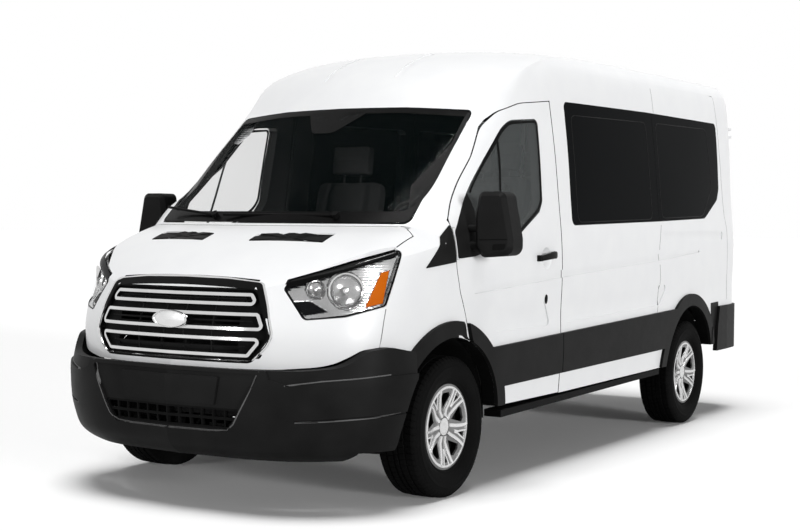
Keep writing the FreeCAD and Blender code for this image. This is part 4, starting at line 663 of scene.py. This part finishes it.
def make_cover(name, x, y, side, body):
    """Raised spokes, forks, rim ring and centre cap of a wheel cover."""
    bm = bmesh.new()
    for spoke in range(5):
        middle = math.radians(36.0 + 72.0 * spoke)
        for hand in (-1.0, 1.0):
            for line, width, height in SPOKE_BARS:
                places = [(radius, middle + hand * angle) for radius, angle in line]
                cover_bar(bm, x, y, side, places, width, height)
    ring = [(0.080, 0.1900), (0.0935, 0.1930), (0.0945, 0.2000), (0.0925, 0.2045), (0.080, 0.2050)]
    cap = [(0.060, 0.0460), (0.0745, 0.0435), (0.0760, 0.0380), (0.0745, 0.0340), (0.0735, 0.0300),
           (0.0770, 0.0150), (0.0775, 0.0005)]
    for profile, sides in ((ring, 72), (cap, 40)):
        lathe(bm, [(side * across, radius) for across, radius in profile], (x, y, WHEEL_RADIUS), sides)
    return finish_piece(name, bm, "silver", body, 40.0)


def make_wheels():
    """Tyres and covers on all four wheels."""
    for end, y, reach in (("front", FRONT_AXLE_Y, FRONT_WHEEL_X), ("rear", REAR_AXLE_Y, REAR_WHEEL_X)):
        for word, side in (("left", 1.0), ("right", -1.0)):
            wheel = "%s_%s" % (end, word)
            tyre = make_tyre("tyre_%s_tread" % wheel, side * reach, y, "wheel_" + wheel)
            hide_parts("tyre_" + wheel)
            make_cover("wheel_cover_" + wheel, side * reach, y, side, "wheel_" + wheel)


PAD_PINCH = 0.04


def pad_mesh(name, size, crown, seams):
    """A crowned cushion with pulled-in sides and sewn channels, centred on the origin."""
    bm = bmesh.new()
    cells = 22
    bmesh.ops.create_cube(bm, size=2.0)
    bmesh.ops.subdivide_edges(bm, edges=bm.edges[:], cuts=cells, use_grid_fill=True)
    half = Vector(size) / 2.0
    for vertex in bm.verts:
        u, v, w = vertex.co
        swell = (1.0 - u * u) * (1.0 - v * v)
        length = max((abs(u) ** 8 + abs(v) ** 8 + abs(w) ** 8) ** 0.125, 1e-6)
        x, y, z = u / length, v / length, w / length
        pull = 1.0 - PAD_PINCH * ((1.0 - u * u) * (abs(v) > 0.98) + (1.0 - v * v) * (abs(u) > 0.98))
        height = half.z * z
        if w > 0.0:
            height += crown * swell * w
        for axis, where, width, depth in seams:
            value = u if axis == "u" else v
            gap = abs(value - where) / width
            if gap < 1.0 and w > 0.5:
                height -= depth * (1.0 - gap * gap) ** 2
        vertex.co = (half.x * x * pull, half.y * y * pull, height)
    data = mesh_data(name, bm)
    data.materials.append(m["fabric"])
    data.shade_smooth()
    return data


def place_pad(name, data, place, tilt):
    """One cushion on its seat, tilted about the X axis."""
    piece = linked(name, data)
    piece.location = place
    piece.rotation_euler = (tilt, 0.0, 0.0)
    bpy.context.view_layer.update()
    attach(piece, "chassis")


def make_seats():
    """Two cab seats and eight cabin seats: bases, cushions, backs and headrests on rods."""
    channels = [("u", -0.58, 0.07, 0.016), ("u", 0.58, 0.07, 0.016), ("v", 0.25, 0.06, 0.008)]
    pads = {}
    for word, width in (("cab", 0.500), ("cabin", 0.440)):
        pads[word] = (pad_mesh(word + "_cushion", (width, 0.500, 0.105), 0.020, channels),
                      pad_mesh(word + "_back", (width - 0.02, 0.660, 0.085), 0.020, channels),
                      pad_mesh(word + "_headrest", (0.270, 0.180, 0.080), 0.014, [("v", 0.0, 0.08, 0.004)]))
    bm = bmesh.new()
    rows = [(-0.860, (-0.430, 0.430), "cab", 0.500, -0.030)]
    rows += [(y, xs, "cabin", 0.440, 0.010) for y, xs in (
        (0.0, (0.160, 0.620)), (0.880, (-0.640, 0.160, 0.620)), (1.780, (-0.450, 0.0, 0.450)))]
    places = [(x, *row) for row in rows for x in row[1]]
    for number, (x, y, _, word, width, rise) in enumerate(places, 1):
        z = 0.700 + 0.02 * (y + 0.543) + rise
        label = "seat_%02d" % number
        cushion, back, rest = pads[word]
        place_pad(label + "_cushion", cushion, (x, y - 0.030, z + 0.312), math.radians(-3.5))
        place_pad(label + "_back", back, (x, y + 0.262, z + 0.640), math.radians(77.0))
        place_pad(label + "_headrest", rest, (x, y + 0.338, z + 1.090), math.radians(82.0))
        for half, near, far, low, high, bevel in (
                (0.34, -0.190, 0.210, -0.006, 0.255, 0.02), (0.42, -0.240, 0.210, 0.235, 0.275, 0.015),
                (0.40, 0.235, 0.262, 0.300, 0.420, 0.01)):
            box(bm, (x - width * half, y + near, z + low), (x + width * half, y + far, z + high), bevel)
        for hand in (-1.0, 1.0):
            rod_x = x + hand * 0.060
            rod(bm, (rod_x, y + 0.318, z + 0.900), (rod_x, y + 0.340, z + 1.040), 0.0065, 8)
            bracket_x = x + hand * width * 0.40
            box(bm, (bracket_x - 0.010, y + 0.130, z + 0.260), (bracket_x + 0.010, y + 0.250, z + 0.330), 0.006)
    frames = mesh_object("seat_frames", bm, m["trim"], "chassis", 35.0)
    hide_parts("seats")


# The grille, seen from ahead as (x, z): each loop's upper and lower corner, and the frame's outline.
LOOPS = [[(0.416, 1.040), (0.462, 0.982)], [(0.466, 0.950), (0.506, 0.868)], [(0.506, 0.838), (0.440, 0.752)]]
GRILLE_FRAME = [(-0.500, 0.985), (-0.455, 1.085), (-0.250, 1.104), (0.0, 1.110), (0.250, 1.104), (0.455, 1.085),
                (0.500, 0.985), (0.540, 0.850), (0.520, 0.800), (0.452, 0.728), (-0.452, 0.728),
                (-0.520, 0.800), (-0.540, 0.850)]


def make_grille_details():
    """Thin bars and ribs inside the loops, the bright outer frame and its black backing."""
    nose = bvh_of(["hood", "front_fascia", "grille_surround"])
    bm = bmesh.new()
    for loop in LOOPS:
        z = (loop[0][1] + loop[1][1]) / 2.0
        reach = min(loop[0][0], loop[1][0]) - 0.035
        line = straight((-reach, NOSE_START_Y, z), (reach, NOSE_START_Y, z), 24, UPWARD)
        laid_strip(bm, nose, line, REARWARD, 0.0035, 0.005, 0.003, 0.2)
    for x in (-0.225, -0.06, 0.06, 0.225):
        line = straight((x, NOSE_START_Y, 0.735), (x, NOSE_START_Y, 1.045), 24, LEFTWARD)
        laid_strip(bm, nose, line, REARWARD, 0.003, 0.004, 0.003, 0.2)
    mesh_object("grille_bars", bm, m["plastic"], "chassis", 40.0)

    middle = Vector((0.0, NOSE_START_Y, 0.915))
    for name, inset, half, proud, key, slot in (
            ("grille_frame", 0.0, 0.0050, 0.0065, "chrome", "bright_chrome"),
            ("grille_frame_back", 0.016, 0.0150, 0.0022, "black", "charcoal_plastic")):
        bm = bmesh.new()
        loop = spread(rounded(ahead(GRILLE_FRAME, NOSE_START_Y), 0.03, 5), 0.03, True)
        line = []
        for point in loop + loop[:1]:
            inward = (middle - point).normalized()
            line.append((point + inward * inset, inward))
        laid_strip(bm, nose, line, REARWARD, half, proud, 0.003, 0.2)
        if inset:
            top = [(Vector((x, NOSE_START_Y, 1.078 + 0.016 * (1.0 - (x / 0.42) ** 2))), UPWARD)
                   for x in [-0.42 + 0.84 * step / 24.0 for step in range(25)]]
            laid_strip(bm, nose, top, REARWARD, 0.022, proud, 0.003, 0.2)
        finish_piece(name, bm, key, "chassis", 40.0)


def make_badge():
    """The bare oval at the grille's middle: (scale, setback) steps from its foot to its face."""
    place, _ = cast(bvh_of(["grille_loops"]), (0.0, NOSE_START_Y, 0.878), REARWARD)
    front = place.y - 0.012
    sides = 48
    steps = ((1.0, 0.016), (1.0, 0.002), (0.96, -0.003), (0.90, -0.003), (0.875, 0.001), (0.60, -0.002),
             (0.02, -0.004))
    bm = bmesh.new()
    rings = []
    for scale, out in steps:
        angles = [2.0 * math.pi * k / sides for k in range(sides)]
        rings.append([bm.verts.new((0.106 * scale * math.cos(angle), front + out,
                                    0.909 + 0.042 * scale * math.sin(angle))) for angle in angles])
    join_rows(bm, rings[:5], ring=True)
    for face in join_rows(bm, rings[4:], ring=True) + [bm.faces.new(list(reversed(rings[-1])))]:
        face.material_index = 1
    badge = finish_piece("grille_oval", bm, "chrome", "chassis", 30.0)
    badge.data.materials.append(m["silver"])


# The headlight, seen square to its face: outline and parts as (along, height), round lamps with radius and depth.
HALF_TURN = 0.70711
LAMP_OUT = Vector((HALF_TURN, -HALF_TURN, 0.0))
LAMP_CORNER = (-1.435, 0.912)
LAMP_SIZE = (0.60, 0.35)
LAMP_OUTLINE = [(-1.428, 1.060), (-1.402, 1.100), (-1.100, 1.186), (-0.842, 1.250), (-0.900, 1.100),
                (-0.948, 0.980), (-1.150, 0.932), (-1.345, 0.918)]
LAMP_AMBER = [(-1.052, 0.976), (-0.962, 0.994), (-0.922, 1.148), (-0.966, 1.136)]
LAMP_DARK = [(-1.392, 1.000), (-1.309, 1.006), (-1.231, 0.957), (-1.338, 0.940)]
LAMP_BROW = [(-1.412, 1.078, 0.010), (-1.385, 1.094, 0.013), (-1.330, 1.108, 0.014), (-1.220, 1.140, 0.012),
             (-1.100, 1.170, 0.010), (-0.980, 1.202, 0.008), (-0.872, 1.231, 0.006)]
ROUND_LAMPS = [(-1.141, 1.054, 0.080, 0.046), (-1.281, 1.058, 0.041, 0.026)]


def lamp_point(u, z, out=0.0):
    """A place in front of the left headlight, from its place along and its height."""
    return Vector((u * HALF_TURN, u * HALF_TURN, z)) + LAMP_OUT * out


def inside(point, outline):
    """Whether a flat point lies inside a closed outline."""
    found = False
    for (ax, ay), (bx, by) in zip(outline, outline[1:] + outline[:1]):
        if (ay > point[1]) != (by > point[1]) and point[0] < (bx - ax) * (point[1] - ay) / (by - ay) + ax:
            found = not found
    return found


def edge_distance(point, outline):
    """How far a flat point is from a closed outline."""
    best = 10.0
    here = Vector(point)
    for near, far in zip(outline, outline[1:] + outline[:1]):
        a = Vector(near)
        span = Vector(far) - a
        part = max(0.0, min(1.0, (here - a).dot(span) / span.length_squared))
        best = min(best, (here - a - span * part).length)
    return best


def reflector_depth(u, z):
    """How far the lamp's reflector lies behind its cover."""
    depth = 0.020 + 0.0016 * abs(math.sin(z * 260.0))
    for lamp_u, lamp_z, radius, deep in ROUND_LAMPS:
        reach = math.hypot(u - lamp_u, z - lamp_z) / radius
        if reach < 1.0:
            depth = 0.016 + deep * (1.0 - reach ** 2) ** 0.8
        elif reach < 1.10:
            depth = 0.012
    if inside((u, z), LAMP_AMBER) or inside((u, z), LAMP_DARK):
        depth = 0.014
    return depth


def make_reflectors(cover):
    """The relief behind each cover: bowls, ribs, the amber corner and the dark lower lens."""
    step = 0.0042
    bm = bmesh.new()
    grid = {}
    for i in range(int(LAMP_SIZE[0] / step) + 1):
        for j in range(int(LAMP_SIZE[1] / step) + 1):
            u = LAMP_CORNER[0] + step * i
            z = LAMP_CORNER[1] + step * j
            if inside((u, z), LAMP_OUTLINE) and edge_distance((u, z), LAMP_OUTLINE) > 0.004:
                place, _ = cast(cover, lamp_point(u, z, 3.0), -LAMP_OUT)
                grid[i, j] = bm.verts.new(place - LAMP_OUT * reflector_depth(u, z))
    for (i, j), corner in list(grid.items()):
        around = [grid.get(key) for key in ((i + 1, j), (i + 1, j + 1), (i, j + 1))]
        if None in around:
            continue
        face = bm.faces.new((corner, *around))
        middle = (LAMP_CORNER[0] + step * (i + 0.5), LAMP_CORNER[1] + step * (j + 0.5))
        if inside(middle, LAMP_AMBER):
            face.material_index = 1
        elif inside(middle, LAMP_DARK):
            face.material_index = 2
    bmesh.ops.recalc_face_normals(bm, faces=bm.faces[:])
    bmesh.ops.solidify(bm, geom=bm.faces[:], thickness=0.003)
    left = mesh_object("headlight_reflector_left", bm, m["bright"], "chassis", 38.0)
    left.data.materials.append(m["amber"])
    left.data.materials.append(m["gloss"])
    right = mirror_piece(left, "headlight_reflector_right", "chassis")
    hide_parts("headlight_bowls")


def make_lamp_rings(cover):
    """A bright ring and a bulb shield in each round lamp."""
    bm = bmesh.new()
    for u, z, radius, deep in ROUND_LAMPS:
        face, _ = cast(cover, lamp_point(u, z, 3.0), -LAMP_OUT)
        place = face - LAMP_OUT * 0.013
        ring = [(-0.010, 1.02), (0.002, 1.05), (0.004, 1.0), (0.001, 0.95), (-0.012, 0.92)]
        turned(bm, [(along, radius * part) for along, part in ring], place, LAMP_OUT, 48)
        turned(bm, [(-deep * 0.95, radius * 0.20), (-deep * 0.35, radius * 0.20), (-deep * 0.22, radius * 0.15),
                    (-deep * 0.18, 0.0005)], place, LAMP_OUT, 24)
    finish_pair("headlight_rings", bm, "chrome", "chassis", 35.0)


def make_lamp_edges(cover):
    """The black outline and brow of each headlight."""
    bm = bmesh.new()
    loop = spread(rounded([Vector((u, z, 0.0)) for u, z in LAMP_OUTLINE], 0.016, 4), 0.03, True)
    middle = Vector((-1.15, 1.06, 0.0))
    line = []
    for point in loop + loop[:1]:
        inward = (middle - point).normalized()
        here = point + inward * 0.007
        line.append((lamp_point(here.x, here.y), lamp_point(inward.x, inward.y)))
    laid_strip(bm, cover, line, -LAMP_OUT, 0.0045, 0.0012, 0.002, 3.0)
    for (u, z, half), (next_u, next_z, next_half) in zip(LAMP_BROW, LAMP_BROW[1:]):
        wide = (half + next_half) / 2.0
        row = straight(lamp_point(u, z - wide * 0.5), lamp_point(next_u, next_z - wide * 0.5), 4, UPWARD)
        laid_strip(bm, cover, row, -LAMP_OUT, wide, 0.0016, 0.002, 3.0)
    finish_pair("headlight_edge", bm, "gloss", "chassis", 35.0)


def make_headlights():
    """Everything behind and around both headlight covers."""
    cover = bvh_of(["headlight_covers"])
    make_reflectors(cover)
    make_lamp_rings(cover)
    make_lamp_edges(cover)


def make_handles():
    """Front door handles across their cups, and the lock covers."""
    skin = bvh_of(["door_left"])
    bm = bmesh.new()
    rows = []
    count = 20
    deep = 0.007
    base, _ = cast(skin, (1.5, -0.680, 1.150), -LEFTWARD)
    for step in range(count + 1):
        part = step / count
        arch = math.sin(math.pi * part)
        x = base.x + 0.006 + 0.034 * arch ** 0.4
        y = -0.858 + 0.196 * part
        z = 1.184 + 0.018 * part + 0.006 * arch
        tall = 0.0140 + 0.0065 * part * (2.0 - part)
        rows.append([bm.verts.new((x + deep * across, y, z + tall * up)) for across, up in
                     ((-1.0, -1.0), (0.4, -0.95), (1.0, -0.55), (1.0, 0.55), (0.4, 0.95), (-1.0, 1.0))])
    join_rows(bm, rows, ring=True, caps=True)
    for y, z in ((-0.852, 1.186), (-0.672, 1.202)):
        box(bm, (base.x - 0.008, y - 0.016, z - 0.017), (base.x + 0.022, y + 0.016, z + 0.017), 0.006)
    finish_pair("door_handle", bm, "plastic", "front_door_left", 40.0)

    bm = bmesh.new()
    angles = [2.0 * math.pi * k / 24 for k in range(24)]
    outline = flank([(-0.746 + 0.017 * math.cos(angle), 0.957 + 0.026 * math.sin(angle)) for angle in angles])
    laid_patch(bm, skin, outline, -LEFTWARD, 0.003, 0.004, 1.5, 1)
    finish_pair("door_lock", bm, "black", "front_door_left", 30.0)


def make_vents():
    """Slatted black vents in the hood's rear corners."""
    skin = bvh_of(["hood"])
    corners = [Vector((x, y, HOOD_START_Z)) for x, y in ((0.544, -2.130), (0.546, -2.251), (0.144, -2.318),
                                                         (0.141, -2.222))]
    bm = bmesh.new()
    laid_patch(bm, skin, spread(rounded(corners, 0.012, 3), 0.03, True), -UPWARD, 0.0012, 0.004, 0.2, 1)
    for slat in range(1, 6):
        near = corners[0].lerp(corners[1], slat / 6.0)
        far = corners[3].lerp(corners[2], slat / 6.0)
        line = straight(near.lerp(far, 0.03), near.lerp(far, 0.97), 12, REARWARD)
        laid_strip(bm, skin, line, -UPWARD, 0.0045, 0.0034, 0.003, 0.2)
    finish_pair("hood_vent", bm, "black", "hood_leaf", 30.0)


MIRROR_OUTLINE = [(1.042, 1.535), (1.190, 1.535), (1.236, 1.300), (1.236, 1.216), (1.062, 1.202),
                  (1.024, 1.250), (1.022, 1.400)]


def make_mirror_faces():
    """Mirror glass in both housings, and the lamp and joint line on each housing's front."""
    middle = Vector((1.125, 0.0, 1.365))
    bm = bmesh.new()
    outline = [middle + (point - middle) * 0.79 for point in rounded(ahead(MIRROR_OUTLINE, 0.0), 0.034, 6)]
    faces = [[bm.verts.new((point.x, y, point.z)) for point in outline] for y in (-1.4795, -1.4835)]
    join_rows(bm, faces, ring=True, caps=True)
    finish_pair("mirror_face", bm, "mirror", "front_door_left", 30.0)

    skin = bvh_of(["mirror_left"])
    bm = bmesh.new()
    line = straight((1.040, MIRROR_START_Y, 1.292), (1.212, MIRROR_START_Y, 1.29544), 12, UPWARD)
    laid_strip(bm, skin, line, REARWARD, 0.0022, 0.0012, 0.002, 0.5)
    lens = ahead([(1.128, 1.240), (1.196, 1.244), (1.204, 1.274), (1.132, 1.270)], MIRROR_START_Y)
    laid_patch(bm, skin, rounded(lens, 0.008, 3), REARWARD, 0.0018, 0.003, 0.5, 1)
    finish_pair("mirror_lamp", bm, "gloss", "front_door_left", 30.0)


def make_windshield_border():
    """The black band printed round the windshield and the sensor patch at its top."""
    skin = bvh_of(["windshield"])
    bm = bmesh.new()
    side = [(0.756, 1.970), (0.774, 1.800), (0.786, 1.600), (0.788, 1.430)]
    runs = [([(-0.750, 1.962), (-0.400, 1.986), (0.0, 1.990), (0.400, 1.986), (0.750, 1.962)], 0.015, UPWARD),
            (side, 0.010, LEFTWARD),
            ([(-x, z) for x, z in side], 0.010, LEFTWARD),
            ([(-0.782, 1.404), (-0.400, 1.400), (0.0, 1.400), (0.400, 1.400), (0.782, 1.404)], 0.028, UPWARD)]
    for points, half, across in runs:
        line = [(point, across) for point in spread(ahead(points, GLASS_START_Y), 0.06)]
        laid_strip(bm, skin, line, REARWARD, half, 0.0008, 0.001, 0.3)
    patch = rounded(ahead([(-0.20, 1.985), (0.20, 1.985), (0.07, 1.860), (-0.07, 1.860)], GLASS_START_Y), 0.03, 4)
    laid_patch(bm, skin, spread(patch, 0.04, True), REARWARD, 0.0009, 0.001, 0.3, 1)
    corner = [(0.794, 1.500), (0.778, 1.462), (0.745, 1.436), (0.660, 1.418), (0.660, 1.385), (0.794, 1.385)]
    for hand in (-1.0, 1.0):
        outline = spread(ahead([(hand * x, z) for x, z in corner], GLASS_START_Y), 0.05, True)
        laid_patch(bm, skin, outline, REARWARD, 0.0010, 0.001, 0.3, 1)
    finish_piece("windshield_border", bm, "gloss", "chassis", 30.0)


def make_window_lines():
    """The inner edges of the dark side windows, and the edge and divider of the door glass."""
    skin = bvh_of(["side_windows"])
    bm = bmesh.new()
    for corners in ([(-0.296, 2.010), (-0.308, 1.386), (0.838, 1.412), (0.838, 2.040)],
                    [(1.010, 2.046), (1.010, 1.420), (1.810, 1.440), (2.040, 1.640), (2.000, 2.066)]):
        loop = spread(rounded(flank(corners), 0.055, 6), 0.12, True)
        loop.append(loop[0])
        middle = sum(loop, Vector()) / len(loop)
        line = [(point, (point - middle).normalized()) for point in loop]
        laid_strip(bm, skin, line, -LEFTWARD, 0.003, 0.0012, 0.002, 0.6)
    finish_pair("window_edges", bm, "plastic", "chassis", 30.0)

    skin = bvh_of(["door_glass_left"])
    bm = bmesh.new()
    edge = [(-1.470, 1.530), (-1.290, 1.698), (-1.085, 1.873), (-1.000, 1.922), (-0.730, 1.946), (-0.748, 1.700),
            (-0.766, 1.505), (-0.812, 1.453), (-1.058, 1.332), (-1.300, 1.264), (-1.440, 1.236)]
    inner = Vector((FLANK_START_X, -1.05, 1.65))
    loop = spread(rounded(flank(edge), 0.030, 5), 0.05, True)[3:-3]
    line = [(point, (inner - point).normalized()) for point in loop]
    laid_strip(bm, skin, line, -LEFTWARD, 0.0085, 0.002, 0.003, 0.6)
    line = straight((FLANK_START_X, -1.262, 1.30), (FLANK_START_X, -1.128, 1.87), 14, REARWARD)
    laid_strip(bm, skin, line, -LEFTWARD, 0.008, 0.002, 0.003, 0.6)
    finish_pair("door_glass_divider", bm, "black", "front_door_left", 30.0)


# Seams of the left side as (y, z).
REAR_SEAM = [(0.990, 2.275), (1.000, 2.115)]
LOWER_SEAM = [(0.985, 1.375), (0.945, 1.250), (0.930, 1.180), (0.955, 1.080), (0.965, 1.020), (0.950, 0.920),
              (0.935, 0.840), (0.915, 0.780)]
# The roof gutter as (y, z): a dark strip along its groove is painted shade.
GUTTER = [(-0.320, 2.272), (0.200, 2.286), (1.025, 2.318), (1.980, 2.330), (2.225, 2.318)]
REAR_CORNER = [(2.240, 2.310), (2.262, 2.077), (2.278, 1.711), (2.300, 1.453), (2.345, 1.350), (2.350, 1.121),
               (2.372, 0.830)]


def make_seams():
    """Pressed seams of the left side's outer panels, and the gutter and rear corner lines of both sides; the
    gutter line is a dark strip along the roof gutter's groove, painted shade.
    """
    skin = bvh_of(["body_side_left"])
    for name, lines in (("panel_seam", (REAR_SEAM, LOWER_SEAM)), ("gutter_line", (GUTTER, REAR_CORNER))):
        bm = bmesh.new()
        for points in lines:
            side = UPWARD if abs(points[0][0] - points[-1][0]) > 1.0 else REARWARD
            line = [(point, side) for point in spread(flank(points), 0.05)]
            laid_strip(bm, skin, line, -LEFTWARD, 0.0022, 0.0006, 0.002, 0.5)
        if name == "gutter_line":
            finish_pair(name, bm, "seam", "chassis", 30.0)
        else:
            finish_piece(name + "_left", bm, "seam", "chassis", 30.0)


def dark_corner(name, skin_nodes, outline, proud, rings):
    """A dark plastic patch with its outline beside the left flank, on both sides."""
    bm = bmesh.new()
    laid_patch(bm, bvh_of(skin_nodes), outline, -LEFTWARD, proud, 0.003, 0.5, rings)
    finish_pair(name, bm, "plastic", "chassis", 35.0)


def make_dark_corners():
    """The dark parts ahead of each mirror, behind each front arch and at the tail."""
    sail = rounded(flank([(-1.996, 1.154), (-1.7365, 1.366), (-1.7365, 1.180)]), 0.008, 2)
    dark_corner("mirror_corner", ["front_fenders", "windshield_frame", "hood", "front_fascia"],
                spread(sail, 0.03, True), 0.0035, 4)

    bm = bmesh.new()
    line = [(place, REARWARD) for place in flank([(-1.7155, 1.192 + 0.020 * step) for step in range(9)])]
    laid_strip(bm, bvh_of(["door_left"]), line, -LEFTWARD, 0.0170, 0.0025, 0.003, 0.5)
    finish_pair("mirror_corner_edge", bm, "plastic", "front_door_left", 35.0)

    arc = [(0.531, math.radians(angle)) for angle in (0.4, 3.4, 6.4, 9.4, 12.8)]
    arc += [(0.4475, math.radians(angle)) for angle in (18.4, 13.5, 9.0, 4.5, 0.4)]
    lip = flank([(FRONT_AXLE_Y + radius * math.sin(angle), WHEEL_RADIUS + radius * math.cos(angle))
                 for radius, angle in arc])
    dark_corner("arch_corner", ["front_fenders", "body_side_left"], lip, 0.004, 3)

    tail = spread(flank([(1.985, 0.530), (1.985, 0.818), (2.150, 0.822), (2.150, 0.530)]), 0.03, True)
    dark_corner("tail_corner", ["body_side_left", "body_mouldings"], tail, 0.004, 4)


FASCIA_SEAM = [(0.920, -2.264, 0.969), (0.920, -2.280, 0.918), (0.921, -2.300, 0.848), (0.935, -2.340, 0.790)]
# The bumper's fold edges as (x, y, z), where pale strips lie as a painted highlight.
BUMPER_FOLDS = [
    [(0.495, -2.653, 0.706), (0.494, -2.703, 0.664), (0.481, -2.723, 0.610), (0.454, -2.727, 0.558),
     (0.419, -2.731, 0.496), (0.383, -2.730, 0.435), (0.336, -2.717, 0.402), (0.241, -2.722, 0.397),
     (0.079, -2.733, 0.397), (0.0, -2.734, 0.397)],
    [(0.673, -2.648, 0.455), (0.823, -2.539, 0.463), (0.941, -2.399, 0.472), (0.999, -2.251, 0.486)],
    [(0.633, -2.674, 0.624), (0.775, -2.574, 0.645), (0.902, -2.448, 0.656), (0.980, -2.309, 0.667)]]


def make_front_lines():
    """The seam between fascia and fender, and pale strips along the bumper's fold edges as a painted highlight.
    """
    heading = Vector((-0.53, 0.85, 0.0))
    for name, under, lines, key, half in (
            ("fascia_seam", ["front_fascia", "front_fenders"], [FASCIA_SEAM], "seam", 0.0018),
            ("bumper_fold", ["front_bumper"], BUMPER_FOLDS, "bumper_highlight", 0.0030)):
        skin = bvh_of(under)
        bm = bmesh.new()
        for points in lines:
            places = spread(points, 0.04)
            line = []
            for index, place in enumerate(places):
                along = places[min(index + 1, len(places) - 1)] - places[max(index - 1, 0)]
                line.append((place, heading.cross(along)))
            laid_strip(bm, skin, line, heading, half, 0.0008, 0.002, 0.6)
        finish_pair(name, bm, key, "chassis", 40.0)


def make_world():
    """A world that is white where it is seen, mirrored or looked through, and lights the object plainly."""
    world = bpy.data.worlds.new("studio")
    bpy.context.scene.world = world
    world.use_nodes = True
    tree = world.node_tree
    background = tree.nodes["Background"]
    background.inputs["Color"].default_value = colour(1.0)
    path = tree.nodes.new("ShaderNodeLightPath")
    source = path.outputs["Is Camera Ray"]
    for kind in ("Is Transmission Ray", "Is Glossy Ray"):
        either = tree.nodes.new("ShaderNodeMath")
        either.operation = "MAXIMUM"
        tree.links.new(source, either.inputs[0])
        tree.links.new(path.outputs[kind], either.inputs[1])
        source = either.outputs["Value"]
    tree.links.new(number_range(tree, source, 0.11, 1.0), background.inputs["Strength"])


def make_stage():
    """A plain pale floor that keeps the object's shadow."""
    bm = bmesh.new()
    bmesh.ops.create_grid(bm, x_segments=1, y_segments=1, size=150.0)
    data = mesh_data("floor", bm)
    floor = linked("floor", data)
    material, tree, shader = new_material("floor")
    path = tree.nodes.new("ShaderNodeLightPath")
    tint = ramp(tree, path.outputs["Is Diffuse Ray"], 0.95, 0.52, 0.0, 1.0)
    tree.links.new(tint, shader.inputs["Base Color"])
    shader.inputs["Roughness"].default_value = 0.9
    shader.inputs["Specular IOR Level"].default_value = 0.1
    glow = tree.nodes.new("ShaderNodeEmission")
    glow.inputs["Color"].default_value = colour(1.0)
    tree.links.new(number_range(tree, path.outputs["Is Camera Ray"], 0.0, 0.03), glow.inputs["Strength"])
    both = tree.nodes.new("ShaderNodeAddShader")
    tree.links.new(shader.outputs["BSDF"], both.inputs[0])
    tree.links.new(glow.outputs["Emission"], both.inputs[1])
    tree.links.new(both.outputs["Shader"], tree.nodes["Material Output"].inputs["Surface"])
    data.materials.append(material)


def add_sun(name, azimuth, elevation, strength, width):
    """A soft sun that shines from an azimuth and elevation, as wide as an angle in degrees."""
    data = bpy.data.lights.new(name, "SUN")
    data.energy = strength
    data.angle = math.radians(width)
    lamp = linked(name, data)
    lamp.rotation_mode = "QUATERNION"
    lamp.rotation_quaternion = direction_from(azimuth, elevation).to_track_quat("Z", "Y")


def make_lights():
    """Overhead softbox with a front and a side fill."""
    add_sun("overhead", 20.0, 85.0, 2.55, 30.0)
    add_sun("front_fill", -18.0, 7.5, 1.10, 14.0)
    add_sun("side_fill", 76.0, 7.5, 2.30, 14.0)


make_camera()
make_world()
make_stage()
make_lights()
m = make_materials()
dress_all(m)
line_cabin(m)
darken_wheels(m)
make_wheels()
make_seats()
make_grille_details()
make_badge()
make_headlights()
make_windshield_border()
make_handles()
make_vents()
make_mirror_faces()
make_window_lines()
make_seams()
make_dark_corners()
make_front_lines()
bpy.context.scene.view_settings.view_transform = "Standard"
